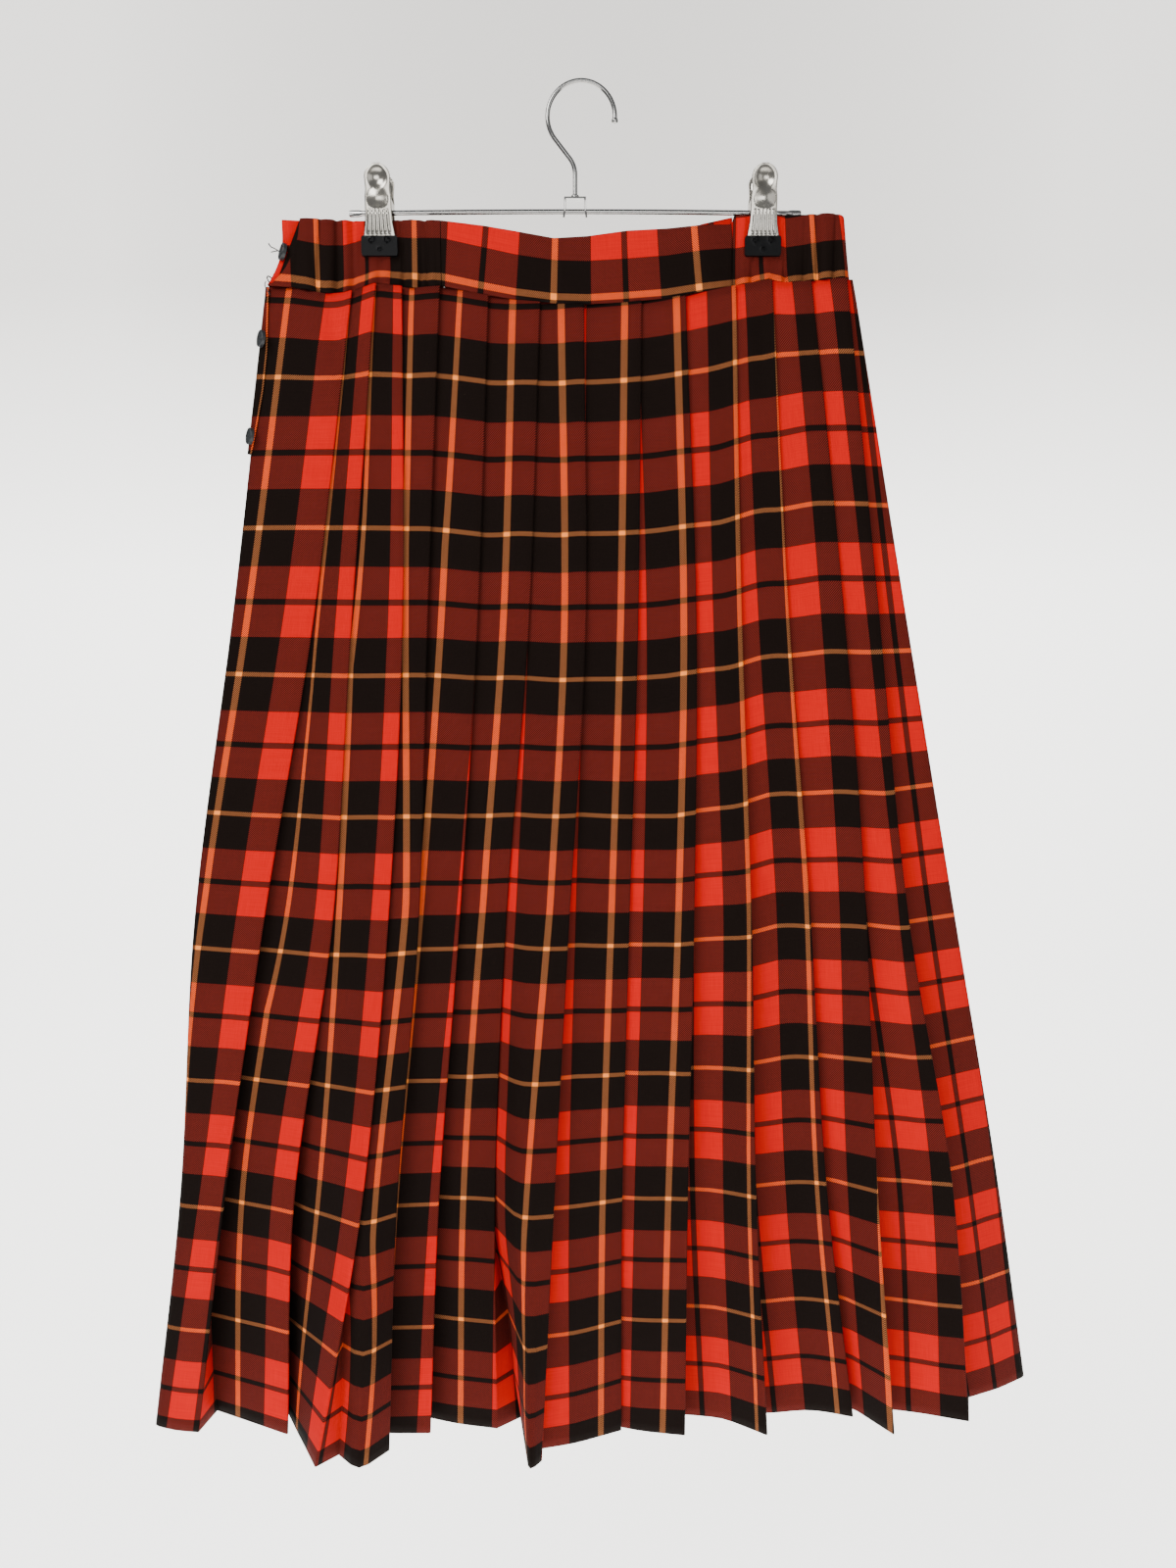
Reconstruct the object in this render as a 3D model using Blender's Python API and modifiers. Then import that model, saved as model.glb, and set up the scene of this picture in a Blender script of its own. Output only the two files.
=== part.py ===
# Knife-pleated tartan maxi skirt, hung flat by its waistband from a wire hanger with two clips.
# Metres, +Z up, X to the viewer's right, Y away from the viewer.
# The origin is the inside top of the hook, where the hanger rests on a rail.
# Tables and helper functions are in millimetres; MM turns them into metres when a mesh is made.
import math

import bpy
import bmesh
from mathutils import Matrix, Vector

MM = 0.001
GAP = 0.3

# Cloth
CLOTH = 1.0
LAYER = CLOTH + GAP
SETT = 96.4
SEAM_Z = -140.0
SKIRT_LENGTH = 817.0
FRONT_Y = -9.0

# Heights at which the skirt is measured, as shares of its length from the waist seam to the hem,
# and how far the folds have opened there, from pressed flat (0) to the hem (1).
LEVELS = (0.0, 0.26, 0.52, 0.77, 1.0)
OPENING = (0.0, 0.05, 0.28, 0.68, 1.0)
ROWS = (0.0, 0.06, 0.13, 0.2, 0.3, 0.41, 0.52, 0.63, 0.74, 0.83, 0.92, 1.0)

# Front folds from left to right, one row each, in this order of columns:
# x of the fold at the five levels; the cloth's place at the fold in repeats of the check, at the
# waist, the middle and the hem; the fold's depth at the waist and at the hem, behind the front plane;
# the depth at the hem of the valley before the fold;
# at the hem, how far the pleat's face bows forward, and where along the face.
FRONT_LEFT_EDGE = ((-203, -237, -274, -295, -324), (-0.16, -0.08, 0.15), 4, 11)
FRONT_FOLDS = (
    ((-148, -180, -223, -260, -288), (0.45, 0.46, 0.52), 0, 3, None, 2, 0.5),
    ((-132, -154, -174, -208, -220), (1.42, 1.40, 1.48), 0, 1, 28, 0, 0.5),
    ((-115, -119, -133, -155, -190), (2.33, 2.39, 2.47), 0, -34, 26, 0, 0.5),
    ((-90, -102, -112, -131, -140), (3.22, 3.09, 3.23), 0, -17, -21, 19, 0.5),
    ((-58, -68, -84, -102, -112), (4.22, 4.28, 4.36), 0, 2, 6, 2, 0.5),
    ((-24, -33, -51, -61, -61), (5.18, 5.17, 5.30), 0, 7, 23, 2, 0.5),
    ((5, 6, -6, -17, -26), (6.15, 6.14, 6.27), 0, -28, 20, 32, 0.55),
    ((43, 42, 37, 33, 33), (7.11, 7.13, 7.17), 0, 5, -17, 3, 0.5),
    ((72, 82, 83, 81, 81), (8.06, 8.11, 8.17), 0, -2, 16, 2, 0.5),
    ((105, 113, 124, 131, 143), (9.02, 9.03, 9.13), 0, -4, 22, -7, 0.5),
    ((129, 145, 166, 184, 210), (9.92, 9.97, 10.11), 0, 8, 21, -5, 0.5),
    ((155, 182, 204, 218, 236), (10.87, 10.92, 11.03), 0, -14, 22, -15, 0.45),
    ((178, 206, 234, 274, 295), (11.85, 11.80, 11.95), 0, -3, 14, -2, 0.5),
    ((184, 227, 273, 319, 356), (12.50, 12.70, 12.84), 5, 47, 24, 3, 0.5),
)

# Towards the hem two pleats fall open. From this share of the length down, their valleys slide out to
# this far right of the fold before them: (row in the table, counted from 0; reach at the hem).
FALLS_OPEN_FROM = 0.8
FALLS_OPEN = {3: 14.0, 6: 17.0}

# The back hangs in plainer pleats of the same kind. Its outer plane leans away from the front.
BACK_PLEATS = 13
BACK_PLANE_Y = (9, 19, 36, 54, 68)
BACK_VALLEY = 20
BACK_PHASE = 0.96
BACK_FIRST_PHASE = 0.78
SIDE_TURN_FRONT = (5, 9, 13, 17, 20)
EDGE_LEAD = 12.0

# How far the cloth is lifted beside the middle of the waist, in this order of columns:
# place across the front as a share of half its width; lift of the band's top edge, the seam, the hem.
SAG = (
    (-1.00, 14.0, 13.0, 0.0),
    (-0.45, 13.0, 11.0, 0.0),
    (-0.20, 6.5, 5.5, 0.0),
    (-0.02, 0.0, 0.0, 0.0),
    (0.10, 1.0, 0.0, 0.0),
    (0.40, 7.5, 4.0, 3.0),
    (0.57, 16.0, 12.0, 9.0),
    (0.72, 16.5, 17.5, 12.0),
    (1.00, 15.0, 18.0, 16.0),
)

# Waistband
BAND_HEIGHT = 39.7
BAND_WALL = 2.0
BAND_Y = 7.0
BAND_ROWS = (0.0, 0.25, 0.5, 0.75, 1.0)
BAND_LEFT_X = (-180.0, -180.5, -182.0, -188.0, -195.0)
BAND_TURN_X = (-190.0, -190.5, -191.5, -195.0, -200.0)
UNDERLAP = 8.0
BAND_RIGHT_X = (177.0, 178.3, 179.5, 180.8, 182.0)
SPLICE_LEFT_X = -90.0
SPLICE_RIGHT_X = 103.0
GATHER_PITCH = 9.5
GATHER_DEPTH = 0.9
PINCH_Y = 1.3
PINCH_FLAT = 14.0
PINCH_FADE = 24.0
SEAT_SPAN = 4.0
# Lengths of wall along each stretch of the band, the same at every height
SMOOTH_STEPS = 24
RIGHT_STEPS = 28
LEFT_STEPS = 40

# Side opening
PLACKET_WALL = 1.0
PLACKET_END = 0.13
BUTTON_RADIUS = 6.0
BUTTON_THICK = 2.4
BUTTON_SEAT = 1.1
# (radius, height) from the middle of a button's face, over its rim, to the middle of its back
BUTTON_PROFILE = ((0.0, 1.5), (3.4, 1.4), (4.3, 2.3), (5.3, BUTTON_THICK), (BUTTON_RADIUS, 1.5),
                  (5.4, 0.2), (4.6, 0.0), (0.0, 0.0))
BUTTON_HEIGHTS = (-106.0, -161.0, -223.8)
TOP_BUTTON_STEP = Vector((2.0, -3.6))
TOP_BUTTON_FACING = Vector((-0.86, -0.5))
TOP_BUTTON_RISE = 0.22

# Hanger
HOOK_WIRE = 3.0
HOOK_RADIUS = 22.0
HOOK_CENTRE = (4.1, -20.5)
HOOK_BALL = 2.1
HOOK_START = -3.0
HOOK_TURN = 222.0
HOOK_STEPS = 19
STEM_BOTTOM = -70.3
# (x, z) of the wire from the end of its round down to the foot of the stem
HOOK_NECK = ((-9.0, -38.2), (-5.2, -42.0), (-2.0, -46.2), (-0.4, -50.8), (0.0, -56.0), (0.0, STEM_BOTTOM))
PLATE_SIZE = (14.5, 7.0, 1.6)
LEG_WALL = 1.6
LEG_DEPTH = 6.6
LEG_LAP = 1.6
BAR_WIRE = 3.4
BAR_LEFT_X = -149.0
BAR_RIGHT_X = 149.0
BAR_Z = -79.2
BAR_BOW = 1.2
STOP_LENGTH = 7.6
STOP_DEPTH = 5.2
STOP_HEIGHT = 2.2
CLIP_X = (-128.7, 123.6)
JAW_TOP_Z = -51.8
JAW_BOTTOM_Z = -103.5
JAW_WALL = 0.9
JAW_DISC = 8.1
JAW_NECK = 7.4
JAW_WAIST = 8.8
JAW_FOOT = 10.2
# How far below the centre of its round pad a jaw is narrowest, begins to widen, and is full width
JAW_NECK_DROP = 9.0
JAW_WAIST_DROP = 16.0
JAW_FOOT_DROP = 32.0
JAW_LEAN = math.radians(7.0)
EAR_WALL = 0.9
EAR_HEIGHT = 6.4
EAR_LAP = 2.8
FRONT_EAR_X = 7.6
REAR_EAR_X = 6.2
TIP_SIZE = (23.8, 3.4, 12.6)
TIP_TOP_Z = -95.6
TIP_EDGE = 0.9
FOOT_Y = PINCH_Y + BAND_WALL / 2 + GAP + TIP_SIZE[1] / 2
SPRING_WIRE = 1.0
SPRING_TURNS = 3
SPRING_LENGTH = 4.4
SPRING_LEG_RISE = 9.0
COIL_POINTS = 8

COLOURS = {
    "tartan": ((0.45, 0.035, 0.02, 1.0), 0.85, 0.0),
    "band": ((0.36, 0.03, 0.018, 1.0), 0.85, 0.0),
    "button": ((0.09, 0.10, 0.11, 1.0), 0.4, 0.0),
    "chrome": ((0.80, 0.80, 0.82, 1.0), 0.15, 1.0),
    "vinyl": ((0.012, 0.012, 0.013, 1.0), 0.35, 0.0),
}


def material(kind):
    """One Principled material for each finish."""
    found = bpy.data.materials.get(kind)
    if found:
        return found
    colour, roughness, metallic = COLOURS[kind]
    made = bpy.data.materials.new(kind)
    made.use_nodes = True
    shader = made.node_tree.nodes["Principled BSDF"]
    shader.inputs["Base Color"].default_value = colour
    shader.inputs["Roughness"].default_value = roughness
    shader.inputs["Metallic"].default_value = metallic
    return made


def link(name, data, kind, collection):
    """A named object of the skirt with its finish."""
    piece = bpy.data.objects.new(name, data)
    data.materials.append(material(kind))
    collection.objects.link(piece)
    return piece


def between(a, b, share):
    return a + (b - a) * share


def at_level(values, t):
    """A smooth curve through the values measured at the five levels."""
    last = len(LEVELS) - 1
    i = max(j for j in range(last) if LEVELS[j] <= t)

    def slope(j):
        lo = max(j - 1, 0)
        hi = min(j + 1, last)
        return (values[hi] - values[lo]) / (LEVELS[hi] - LEVELS[lo])

    width = LEVELS[i + 1] - LEVELS[i]
    u = (t - LEVELS[i]) / width
    return ((1 + 2 * u) * (1 - u) ** 2 * values[i] + u * (1 - u) ** 2 * width * slope(i)
            + u * u * (3 - 2 * u) * values[i + 1] - u * u * (1 - u) * width * slope(i + 1))


def at_thirds(values, t):
    """A value given at the waist, the middle and the hem."""
    if t < 0.5:
        return between(values[0], values[1], t * 2)
    return between(values[1], values[2], t * 2 - 1)


def sag(share, column):
    """Lift at a place across the cloth, from one column of the table."""
    share = max(-1.0, min(1.0, share))
    for low, high in zip(SAG, SAG[1:]):
        if share <= high[0]:
            u = (share - low[0]) / (high[0] - low[0])
            return between(low[column], high[column], u * u * (3 - 2 * u))
    return SAG[-1][column]


def height(x, half_width, t):
    """Height of the skirt cloth at a share t of its length."""
    share = x / half_width
    lift = between(sag(share, 2), sag(share, 3), t)
    return SEAM_Z - GAP / 2 + lift - SKIRT_LENGTH * t


def depth_on(line, x):
    """Depth of a face at x, along its points from valley to fold."""
    for a, b in zip(line, line[1:]):
        if x <= b[0]:
            break
    return between(a[1], b[1], (x - a[0]) / (b[0] - a[0]))


def hang(last, valley_x, depth, new, bow, bow_at):
    """A valley and the face that runs from it to the next fold, and their length of cloth."""
    valley = (valley_x, depth)
    middle = (between(valley_x, new[0], bow_at), between(depth, new[1], bow_at) - bow)
    length = math.dist(last, valley) + math.dist(valley, middle) + math.dist(middle, new)
    return [valley, middle, new], length


def pleat(last_face, new, cloth, depth, bow, bow_at):
    """One knife pleat after the last face. The cloth cannot stretch, so its length sets how far the
    valley reaches back, and the valley is deep enough for its layers to lie behind one another."""
    last = last_face[-1]
    room = 2.05 * LAYER
    for attempt in range(8):
        low = last[0] - cloth / 2
        high = between(last[0], new[0], 0.6)
        for step in range(30):
            x = (low + high) / 2
            face, length = hang(last, x, depth, new, bow, bow_at)
            if length > cloth:
                low = x
            else:
                high = x
        if x > last[0] - 1.0:
            break
        short = [(last[1] + room - depth_on(face, last[0])) * (new[0] - x) / (new[0] - last[0])]
        if x > last_face[0][0]:
            short.append(depth_on(last_face, x) + room - depth)
        reach = last[0] - x
        for point, clear in zip(last_face[:2], (room, 1.1 * LAYER)):
            if x + 1.0 < point[0] < last[0] - 1.0:
                share = (last[0] - point[0]) / reach
                short.append((point[1] + clear - between(last[1], depth, share)) / share)
        middle = face[1]
        if middle[0] < last[0]:
            share = (middle[0] - x) / reach
            behind = between(depth, last[1], share) + LAYER * (0.05 + 2 * share)
            short.append((behind - middle[1]) / (share - bow_at))
        if max(short) < 0.02:
            break
        depth += min(max(short), 6.0)
    return face


def fall_open(face, last, reach, valley_depth, bow, bow_at, share):
    """The valley slides out from behind the fold before it."""
    x = between(face[0][0], last[0] + reach, share)
    depth = between(face[0][1], valley_depth, share)
    return hang(last, x, depth, face[-1], bow, bow_at)[0]


def hang_pleats(start, start_place, rows, open_share=0.0):
    """Pleats one after another. Each row is the next fold, its place, its valley's depth, and its bow."""
    path = []
    face = [(start[0] - 1.0, start[1]), (start[0] - 0.5, start[1]), start]
    place = start_place
    for number, (new, new_place, valley_depth, bow, bow_at) in enumerate(rows):
        if valley_depth is None:
            valley, middle = face[-1], (between(face[-1][0], new[0], bow_at),
                                        between(face[-1][1], new[1], bow_at) - bow)
            line = [valley, middle, new]
            back = 0.0
        else:
            line = pleat(face, new, (new_place - place) * SETT, valley_depth, bow, bow_at)
            if open_share and number in FALLS_OPEN:
                line = fall_open(line, face[-1], FALLS_OPEN[number], valley_depth, bow, bow_at, open_share)
            back = math.dist(face[-1], line[0])
        first = math.dist(line[0], line[1])
        whole = back + first + math.dist(line[1], line[2])
        if valley_depth is not None:
            path.append(("valley",) + line[0] + (between(place, new_place, back / whole),))
        path.append(("face",) + line[1] + (between(place, new_place, (back + first) / whole),))
        path.append(("fold",) + new + (new_place,))
        face = line
        place = new_place
    path[-1] = ("edge",) + path[-1][1:]
    return path


def front_path(t):
    """Folds and valleys across the front at one height, as (kind, x, depth, place in the check)."""
    opened = at_level(OPENING, t)
    xs, places, waist, hem = FRONT_LEFT_EDGE
    edge = (at_level(xs, t), between(waist, hem, opened))
    place = at_thirds(places, t)
    turn = at_level(SIDE_TURN_FRONT, t)
    path = [("seam", edge[0] + turn * 0.3, edge[1] + turn, place - turn / SETT),
            ("edge",) + edge + (place,)]
    rows = []
    for xs, places, waist, hem, valley, bow, bow_at in FRONT_FOLDS:
        fold = (at_level(xs, t), between(waist, hem, opened))
        depth = None if valley is None else between(4 * LAYER, valley, opened)
        rows.append((fold, at_thirds(places, t), depth, bow * opened, bow_at))
    open_share = max(t - FALLS_OPEN_FROM, 0.0) / (1.0 - FALLS_OPEN_FROM)
    path += hang_pleats(edge, place, rows, open_share)
    kind, x, depth, place = path[-1]
    path.append(("seam", x - turn * 0.2, depth + turn * 0.6, place + turn / SETT))
    return path


def back_path(t):
    """The same for the back, seen from behind, with its depth measured from its own outer plane."""
    front = front_path(t)
    plane = at_level(BACK_PLANE_Y, t)
    opened = at_level(OPENING, t)
    left, right = [(-x, plane - (FRONT_Y + depth) - CLOTH - GAP)
                   for kind, x, depth, place in (front[-1], front[0])]
    edge = (left[0] - 1.0, left[1] * 0.5)
    place = front[-1][3]
    path = [("seam",) + left + (place,)]
    place += math.dist(left, edge) / SETT
    path.append(("edge",) + edge + (place,))
    rows = []
    before = edge
    fold_place = place
    for i in range(1, BACK_PLEATS + 1):
        share = i / BACK_PLEATS
        uneven = 0.0 if i == BACK_PLEATS else 2.5
        x = between(edge[0], right[0] + 1.0, share) + uneven * math.sin(2.3 * i)
        side = max(abs(2 * share - 1) - 0.7, 0.0) / 0.3
        end_depth = (right if share > 0.5 else left)[1] * 0.5
        fold = (x, end_depth * side * side + uneven * opened * math.sin(1.9 * i))
        if i == 1:
            fold_place += math.dist(edge, fold) / SETT
            valley = None
        else:
            fold_place += BACK_FIRST_PHASE if i == 2 else BACK_PHASE
            valley = between(4 * LAYER, min(fold[1], before[1]) + BACK_VALLEY, opened)
        rows.append((fold, fold_place, valley, 2.0 * opened * math.sin(1.3 * i), 0.5))
        before = fold
    path += hang_pleats(edge, place, rows)
    kind, x, depth, place = path[-1]
    path.append(("seam",) + right + (place + (right[1] - depth) / SETT,))
    return path


def rounded(path):
    """Each fold and valley becomes two points, a layer apart, so the wall turns without pinching."""
    flat = [Vector((x, depth)) for kind, x, depth, place in path]
    points = []
    for i, (kind, x, depth, place) in enumerate(path):
        if kind in ("seam", "face", "edge"):
            points.append(flat[i])
            continue
        going = (flat[i] - flat[i - 1]).normalized()
        leaving = (flat[i + 1] - flat[i]).normalized()
        across = (going + leaving + Vector((0.0, 0.3))).normalized() * (LAYER / 2)
        centre = flat[i] + Vector((0.0, LAYER / 2 if kind == "fold" else -LAYER / 2))
        points.append(centre - across)
        points.append(centre + across)
    return points


def side_normals(points):
    """The sideways push at each point of an open line that keeps a wall of even thickness."""
    pushes = []
    for i, point in enumerate(points):
        before = (point - points[i - 1]).normalized() if i else None
        after = (points[i + 1] - point).normalized() if i + 1 < len(points) else None
        before = before or after
        after = after or before
        first = Vector((before.y, -before.x))
        second = Vector((after.y, -after.x))
        joint = first + second
        scale = 2.0 / max(joint.length_squared, 1.6)
        pushes.append(joint * scale)
    return pushes


def wall(name, rows, thickness, kind, collection):
    """A closed wall of cloth lofted through rows of (points in plan, heights)."""
    mesh = bmesh.new()
    outer = []
    inner = []
    for points, heights in rows:
        pushes = side_normals(points)
        for side, grid in ((0.5, outer), (-0.5, inner)):
            grid.append([mesh.verts.new(((p.x + n.x * thickness * side) * MM,
                                         (p.y + n.y * thickness * side) * MM, z * MM))
                         for p, n, z in zip(points, pushes, heights)])
    last = len(rows) - 1
    end = len(outer[0]) - 1
    for r in range(last):
        for c in range(end):
            mesh.faces.new((outer[r][c], outer[r + 1][c], outer[r + 1][c + 1], outer[r][c + 1]))
            mesh.faces.new((inner[r][c], inner[r][c + 1], inner[r + 1][c + 1], inner[r + 1][c]))
        mesh.faces.new((outer[r][0], inner[r][0], inner[r + 1][0], outer[r + 1][0]))
        mesh.faces.new((outer[r][end], outer[r + 1][end], inner[r + 1][end], inner[r][end]))
    for c in range(end):
        mesh.faces.new((outer[0][c], outer[0][c + 1], inner[0][c + 1], inner[0][c]))
        mesh.faces.new((outer[last][c], inner[last][c], inner[last][c + 1], outer[last][c + 1]))
    bmesh.ops.recalc_face_normals(mesh, faces=mesh.faces)
    data = bpy.data.meshes.new(name)
    mesh.to_mesh(data)
    mesh.free()
    data.shade_smooth()
    data.set_sharp_from_angle(angle=math.radians(40))
    return link(name, data, kind, collection)


def half_width(t):
    """Half the skirt's width, with the left edge's lead over the right."""
    edge = at_level(FRONT_LEFT_EDGE[0], t)
    return (at_level(FRONT_FOLDS[-1][0], t) - edge) / 2 + EDGE_LEAD


def front_row(t):
    points = [Vector((p.x, FRONT_Y + p.y)) for p in rounded(front_path(t))]
    return points, [height(p.x, half_width(t), t) for p in points]


def back_row(t):
    plane = at_level(BACK_PLANE_Y, t)
    points = [Vector((-p.x, plane - p.y)) for p in rounded(back_path(t))]
    return points, [height(p.x, half_width(t), t) for p in points]


def skirt_panels(collection):
    """Front and back: two pleated walls that meet at the side seams."""
    wall("skirt_front", [front_row(t) for t in ROWS], CLOTH, "tartan", collection)
    wall("skirt_back", [back_row(t) for t in ROWS], CLOTH, "tartan", collection)


def pinch(x, down):
    """How far the clips press the band towards the middle, from 0 to 1."""
    nearest = min(abs(x - clip) for clip in CLIP_X)
    near = max(0.0, 1.0 - max(nearest - PINCH_FLAT, 0.0) / PINCH_FADE)
    near = near * near * (3 - 2 * near)
    return near * (1.0 - 0.75 * max(down - 0.75, 0.0) / 0.25)


def band_depth(x, down):
    return between(BAND_Y, PINCH_Y, pinch(x, down))


def band_end(values, down):
    """A band's end at a share of its height, along straight lines between the rows."""
    i = max(j for j in range(len(BAND_ROWS) - 1) if BAND_ROWS[j] <= down)
    return between(values[i], values[i + 1], (down - BAND_ROWS[i]) / (BAND_ROWS[i + 1] - BAND_ROWS[i]))


def skirt_top(tops, x):
    """The highest the panels' top edges reach just here, so the band can sit on them."""
    best = SEAM_Z - GAP / 2 + sag(x / half_width(0.0), 2)
    for points, heights in tops:
        for a, b, low, high in zip(points, points[1:], heights, heights[1:]):
            for near in (x - SEAT_SPAN, x, x + SEAT_SPAN):
                if min(a.x, b.x) <= near <= max(a.x, b.x) and a.x != b.x:
                    best = max(best, between(low, high, (near - a.x) / (b.x - a.x)))
    return best


def gathers(x, down, wave):
    """Small upright waves where elastic draws the band in, still under the clips."""
    calm = 1.0 - pinch(x, 0.0)
    return GATHER_DEPTH * calm * math.sin(2 * math.pi * wave / GATHER_PITCH)


def band_wall(name, plan, gathered, tops, collection):
    """A stretch of waistband: plan(down) gives its line at a share of its height."""
    rows = []
    for down in BAND_ROWS:
        line = plan(down)
        pushes = side_normals(line)
        points = []
        heights = []
        travelled = 0.0
        for i, (point, push) in enumerate(zip(line, pushes)):
            if i:
                travelled += (point - line[i - 1]).length
            wave = gathers(point.x, down, travelled) if gathered else 0.0
            if i == 0 or i == len(line) - 1:
                wave = 0.0
            points.append(point + push * wave)
            top = SEAM_Z + BAND_HEIGHT + sag(point.x / half_width(0.0), 1)
            heights.append(between(top, skirt_top(tops, point.x) + GAP, down))
        rows.append((points, heights))
    return wall(name, rows, BAND_WALL, "band", collection)


def straight(start, stop, down, side, count):
    """Points along the front (side -1) or back (side 1) of the waist."""
    line = []
    for i in range(count + 1):
        x = between(start, stop, i / count)
        line.append(Vector((x, side * band_depth(x, down))))
    return line


def side_turn(x, down, way):
    """A half round from front to back (way 1, right side) or from back to front (way -1, left side)."""
    line = []
    for i in range(1, 6):
        angle = math.radians(-90 + 30 * i)
        line.append(Vector((x + way * (BAND_Y - 1.0) * math.cos(angle), way * BAND_Y * math.sin(angle))))
    return line


def waistband(collection):
    """Smooth front and back pieces, and gathered sides with elastic inside."""
    tops = (front_row(0.0), back_row(0.0))

    def front(down):
        return straight(SPLICE_LEFT_X, SPLICE_RIGHT_X - GAP, down, -1, SMOOTH_STEPS)

    def back(down):
        return straight(SPLICE_RIGHT_X - GAP, SPLICE_LEFT_X, down, 1, SMOOTH_STEPS)

    def right(down):
        turn_x = band_end(BAND_RIGHT_X, down) - BAND_Y
        return (straight(SPLICE_RIGHT_X, turn_x, down, -1, RIGHT_STEPS) + side_turn(turn_x, down, 1)
                + straight(turn_x, SPLICE_RIGHT_X, down, 1, RIGHT_STEPS))

    def left_front(down):
        end = band_end(BAND_LEFT_X, down)
        return straight(end, SPLICE_LEFT_X - GAP, down, -1, LEFT_STEPS)

    def left_back(down):
        turn_x = band_end(BAND_TURN_X, down) + BAND_Y
        line = straight(SPLICE_LEFT_X - GAP, turn_x, down, 1, LEFT_STEPS)
        line += side_turn(turn_x, down, -1)[:4]
        under = BAND_Y - BAND_WALL - 2 * (GAP + GATHER_DEPTH)
        line.append(Vector((turn_x - 1.0, -under)))
        line.append(Vector((turn_x + UNDERLAP, -under)))
        return line

    band_wall("waistband_front", front, False, tops, collection)
    band_wall("waistband_back", back, False, tops, collection)
    band_wall("waistband_side_right", right, True, tops, collection)
    band_wall("waistband_side_left_front", left_front, True, tops, collection)
    band_wall("waistband_side_left_back", left_back, True, tops, collection)


def placket_line(t):
    """The side opening's strip lies on the panels, made from their points and moved out."""
    front = [Vector((x, FRONT_Y + depth)) for kind, x, depth, place in front_path(t)[:3]]
    plane = at_level(BACK_PLANE_Y, t)
    back = [Vector((-x, plane - depth)) for kind, x, depth, place in back_path(t)[-3:]]
    seam = (front[0] + back[2]) / 2
    return [between(front[1], front[2], 0.14), front[1], seam, back[1], between(back[1], back[0], 0.2)]


def placket(collection):
    rows = []
    for i in range(5):
        t = PLACKET_END * i / 4
        line = list(reversed(placket_line(t)))
        out = (CLOTH + PLACKET_WALL) / 2 + GAP
        moved = [p + n * out for p, n in zip(line, side_normals(line))]
        drop = GAP if i == 0 else 0.0
        rows.append((moved, [height(p.x, half_width(t), t) - drop for p in line]))
    wall("placket", rows, PLACKET_WALL, "tartan", collection)


def button_mesh():
    """A turned button: raised rim, dished middle, flat back."""
    mesh = bmesh.new()
    verts = [mesh.verts.new((r * MM, 0.0, z * MM)) for r, z in BUTTON_PROFILE]
    for a, b in zip(verts, verts[1:]):
        mesh.edges.new((a, b))
    data = bpy.data.meshes.new("button_profile")
    mesh.to_mesh(data)
    mesh.free()
    return data


def buttons(collection):
    """Three buttons that face outwards from the side opening."""
    for number, z in enumerate(BUTTON_HEIGHTS, start=1):
        if number == 1:
            place = Vector((band_end(BAND_TURN_X, 0.5), 0.0)) + TOP_BUTTON_STEP
            facing = TOP_BUTTON_FACING
            rise = TOP_BUTTON_RISE
            out = BAND_WALL / 2 + 2 * GAP + GATHER_DEPTH
        else:
            t = (SEAM_Z + sag(-1.0, 2) - z) / SKIRT_LENGTH
            line = list(reversed(placket_line(t)))
            place = line[3]
            facing = side_normals(line)[3].normalized()
            below = list(reversed(placket_line(t + 0.01)))[3]
            rise = (below - place).dot(facing) / (0.01 * SKIRT_LENGTH)
            out = CLOTH / 2 + PLACKET_WALL + GAP + BUTTON_SEAT
        place = place + facing * out
        piece = link("button_%d" % number, button_mesh(), "button", collection)
        turn = piece.modifiers.new("turned", "SCREW")
        turn.steps = 20
        turn.render_steps = 20
        turn.use_merge_vertices = True
        turn.merge_threshold = 0.00005
        piece.rotation_euler = Vector((facing.x, facing.y, rise)).to_track_quat("Z", "Y").to_euler()
        piece.location = Vector((place.x, place.y, z)) * MM
        for polygon in piece.data.polygons:
            polygon.use_smooth = True


def wire(name, points, radius, kind, collection, resolution=2):
    """A round wire through points."""
    data = bpy.data.curves.new(name, "CURVE")
    data.dimensions = "3D"
    data.bevel_depth = radius * MM
    data.bevel_resolution = resolution
    data.use_fill_caps = True
    spline = data.splines.new("POLY")
    spline.points.add(len(points) - 1)
    for target, (x, y, z) in zip(spline.points, points):
        target.co = (x * MM, y * MM, z * MM, 1.0)
    return link(name, data, kind, collection)


def as_mesh(piece, collection):
    """A curve made into a welded mesh object of the same name."""
    name = piece.name
    bpy.context.view_layer.update()
    evaluated = piece.evaluated_get(bpy.context.evaluated_depsgraph_get())
    data = bpy.data.meshes.new_from_object(evaluated)
    place = piece.matrix_world.copy()
    kept = piece.data.materials[0].name
    bpy.data.objects.remove(piece)
    mesh = bmesh.new()
    mesh.from_mesh(data)
    bmesh.ops.remove_doubles(mesh, verts=mesh.verts, dist=0.00001)
    mesh.to_mesh(data)
    mesh.free()
    data.materials.clear()
    solid = link(name, data, kept, collection)
    solid.matrix_world = place
    return solid


def box(name, centre, size, kind, collection):
    """A block with its sides along the axes."""
    mesh = bmesh.new()
    bmesh.ops.create_cube(mesh, size=1.0)
    bmesh.ops.transform(mesh, verts=mesh.verts, matrix=Matrix.Diagonal((*[s * MM for s in size], 1.0)))
    bmesh.ops.translate(mesh, verts=mesh.verts, vec=Vector(centre) * MM)
    data = bpy.data.meshes.new(name)
    mesh.to_mesh(data)
    mesh.free()
    return link(name, data, kind, collection)


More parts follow.
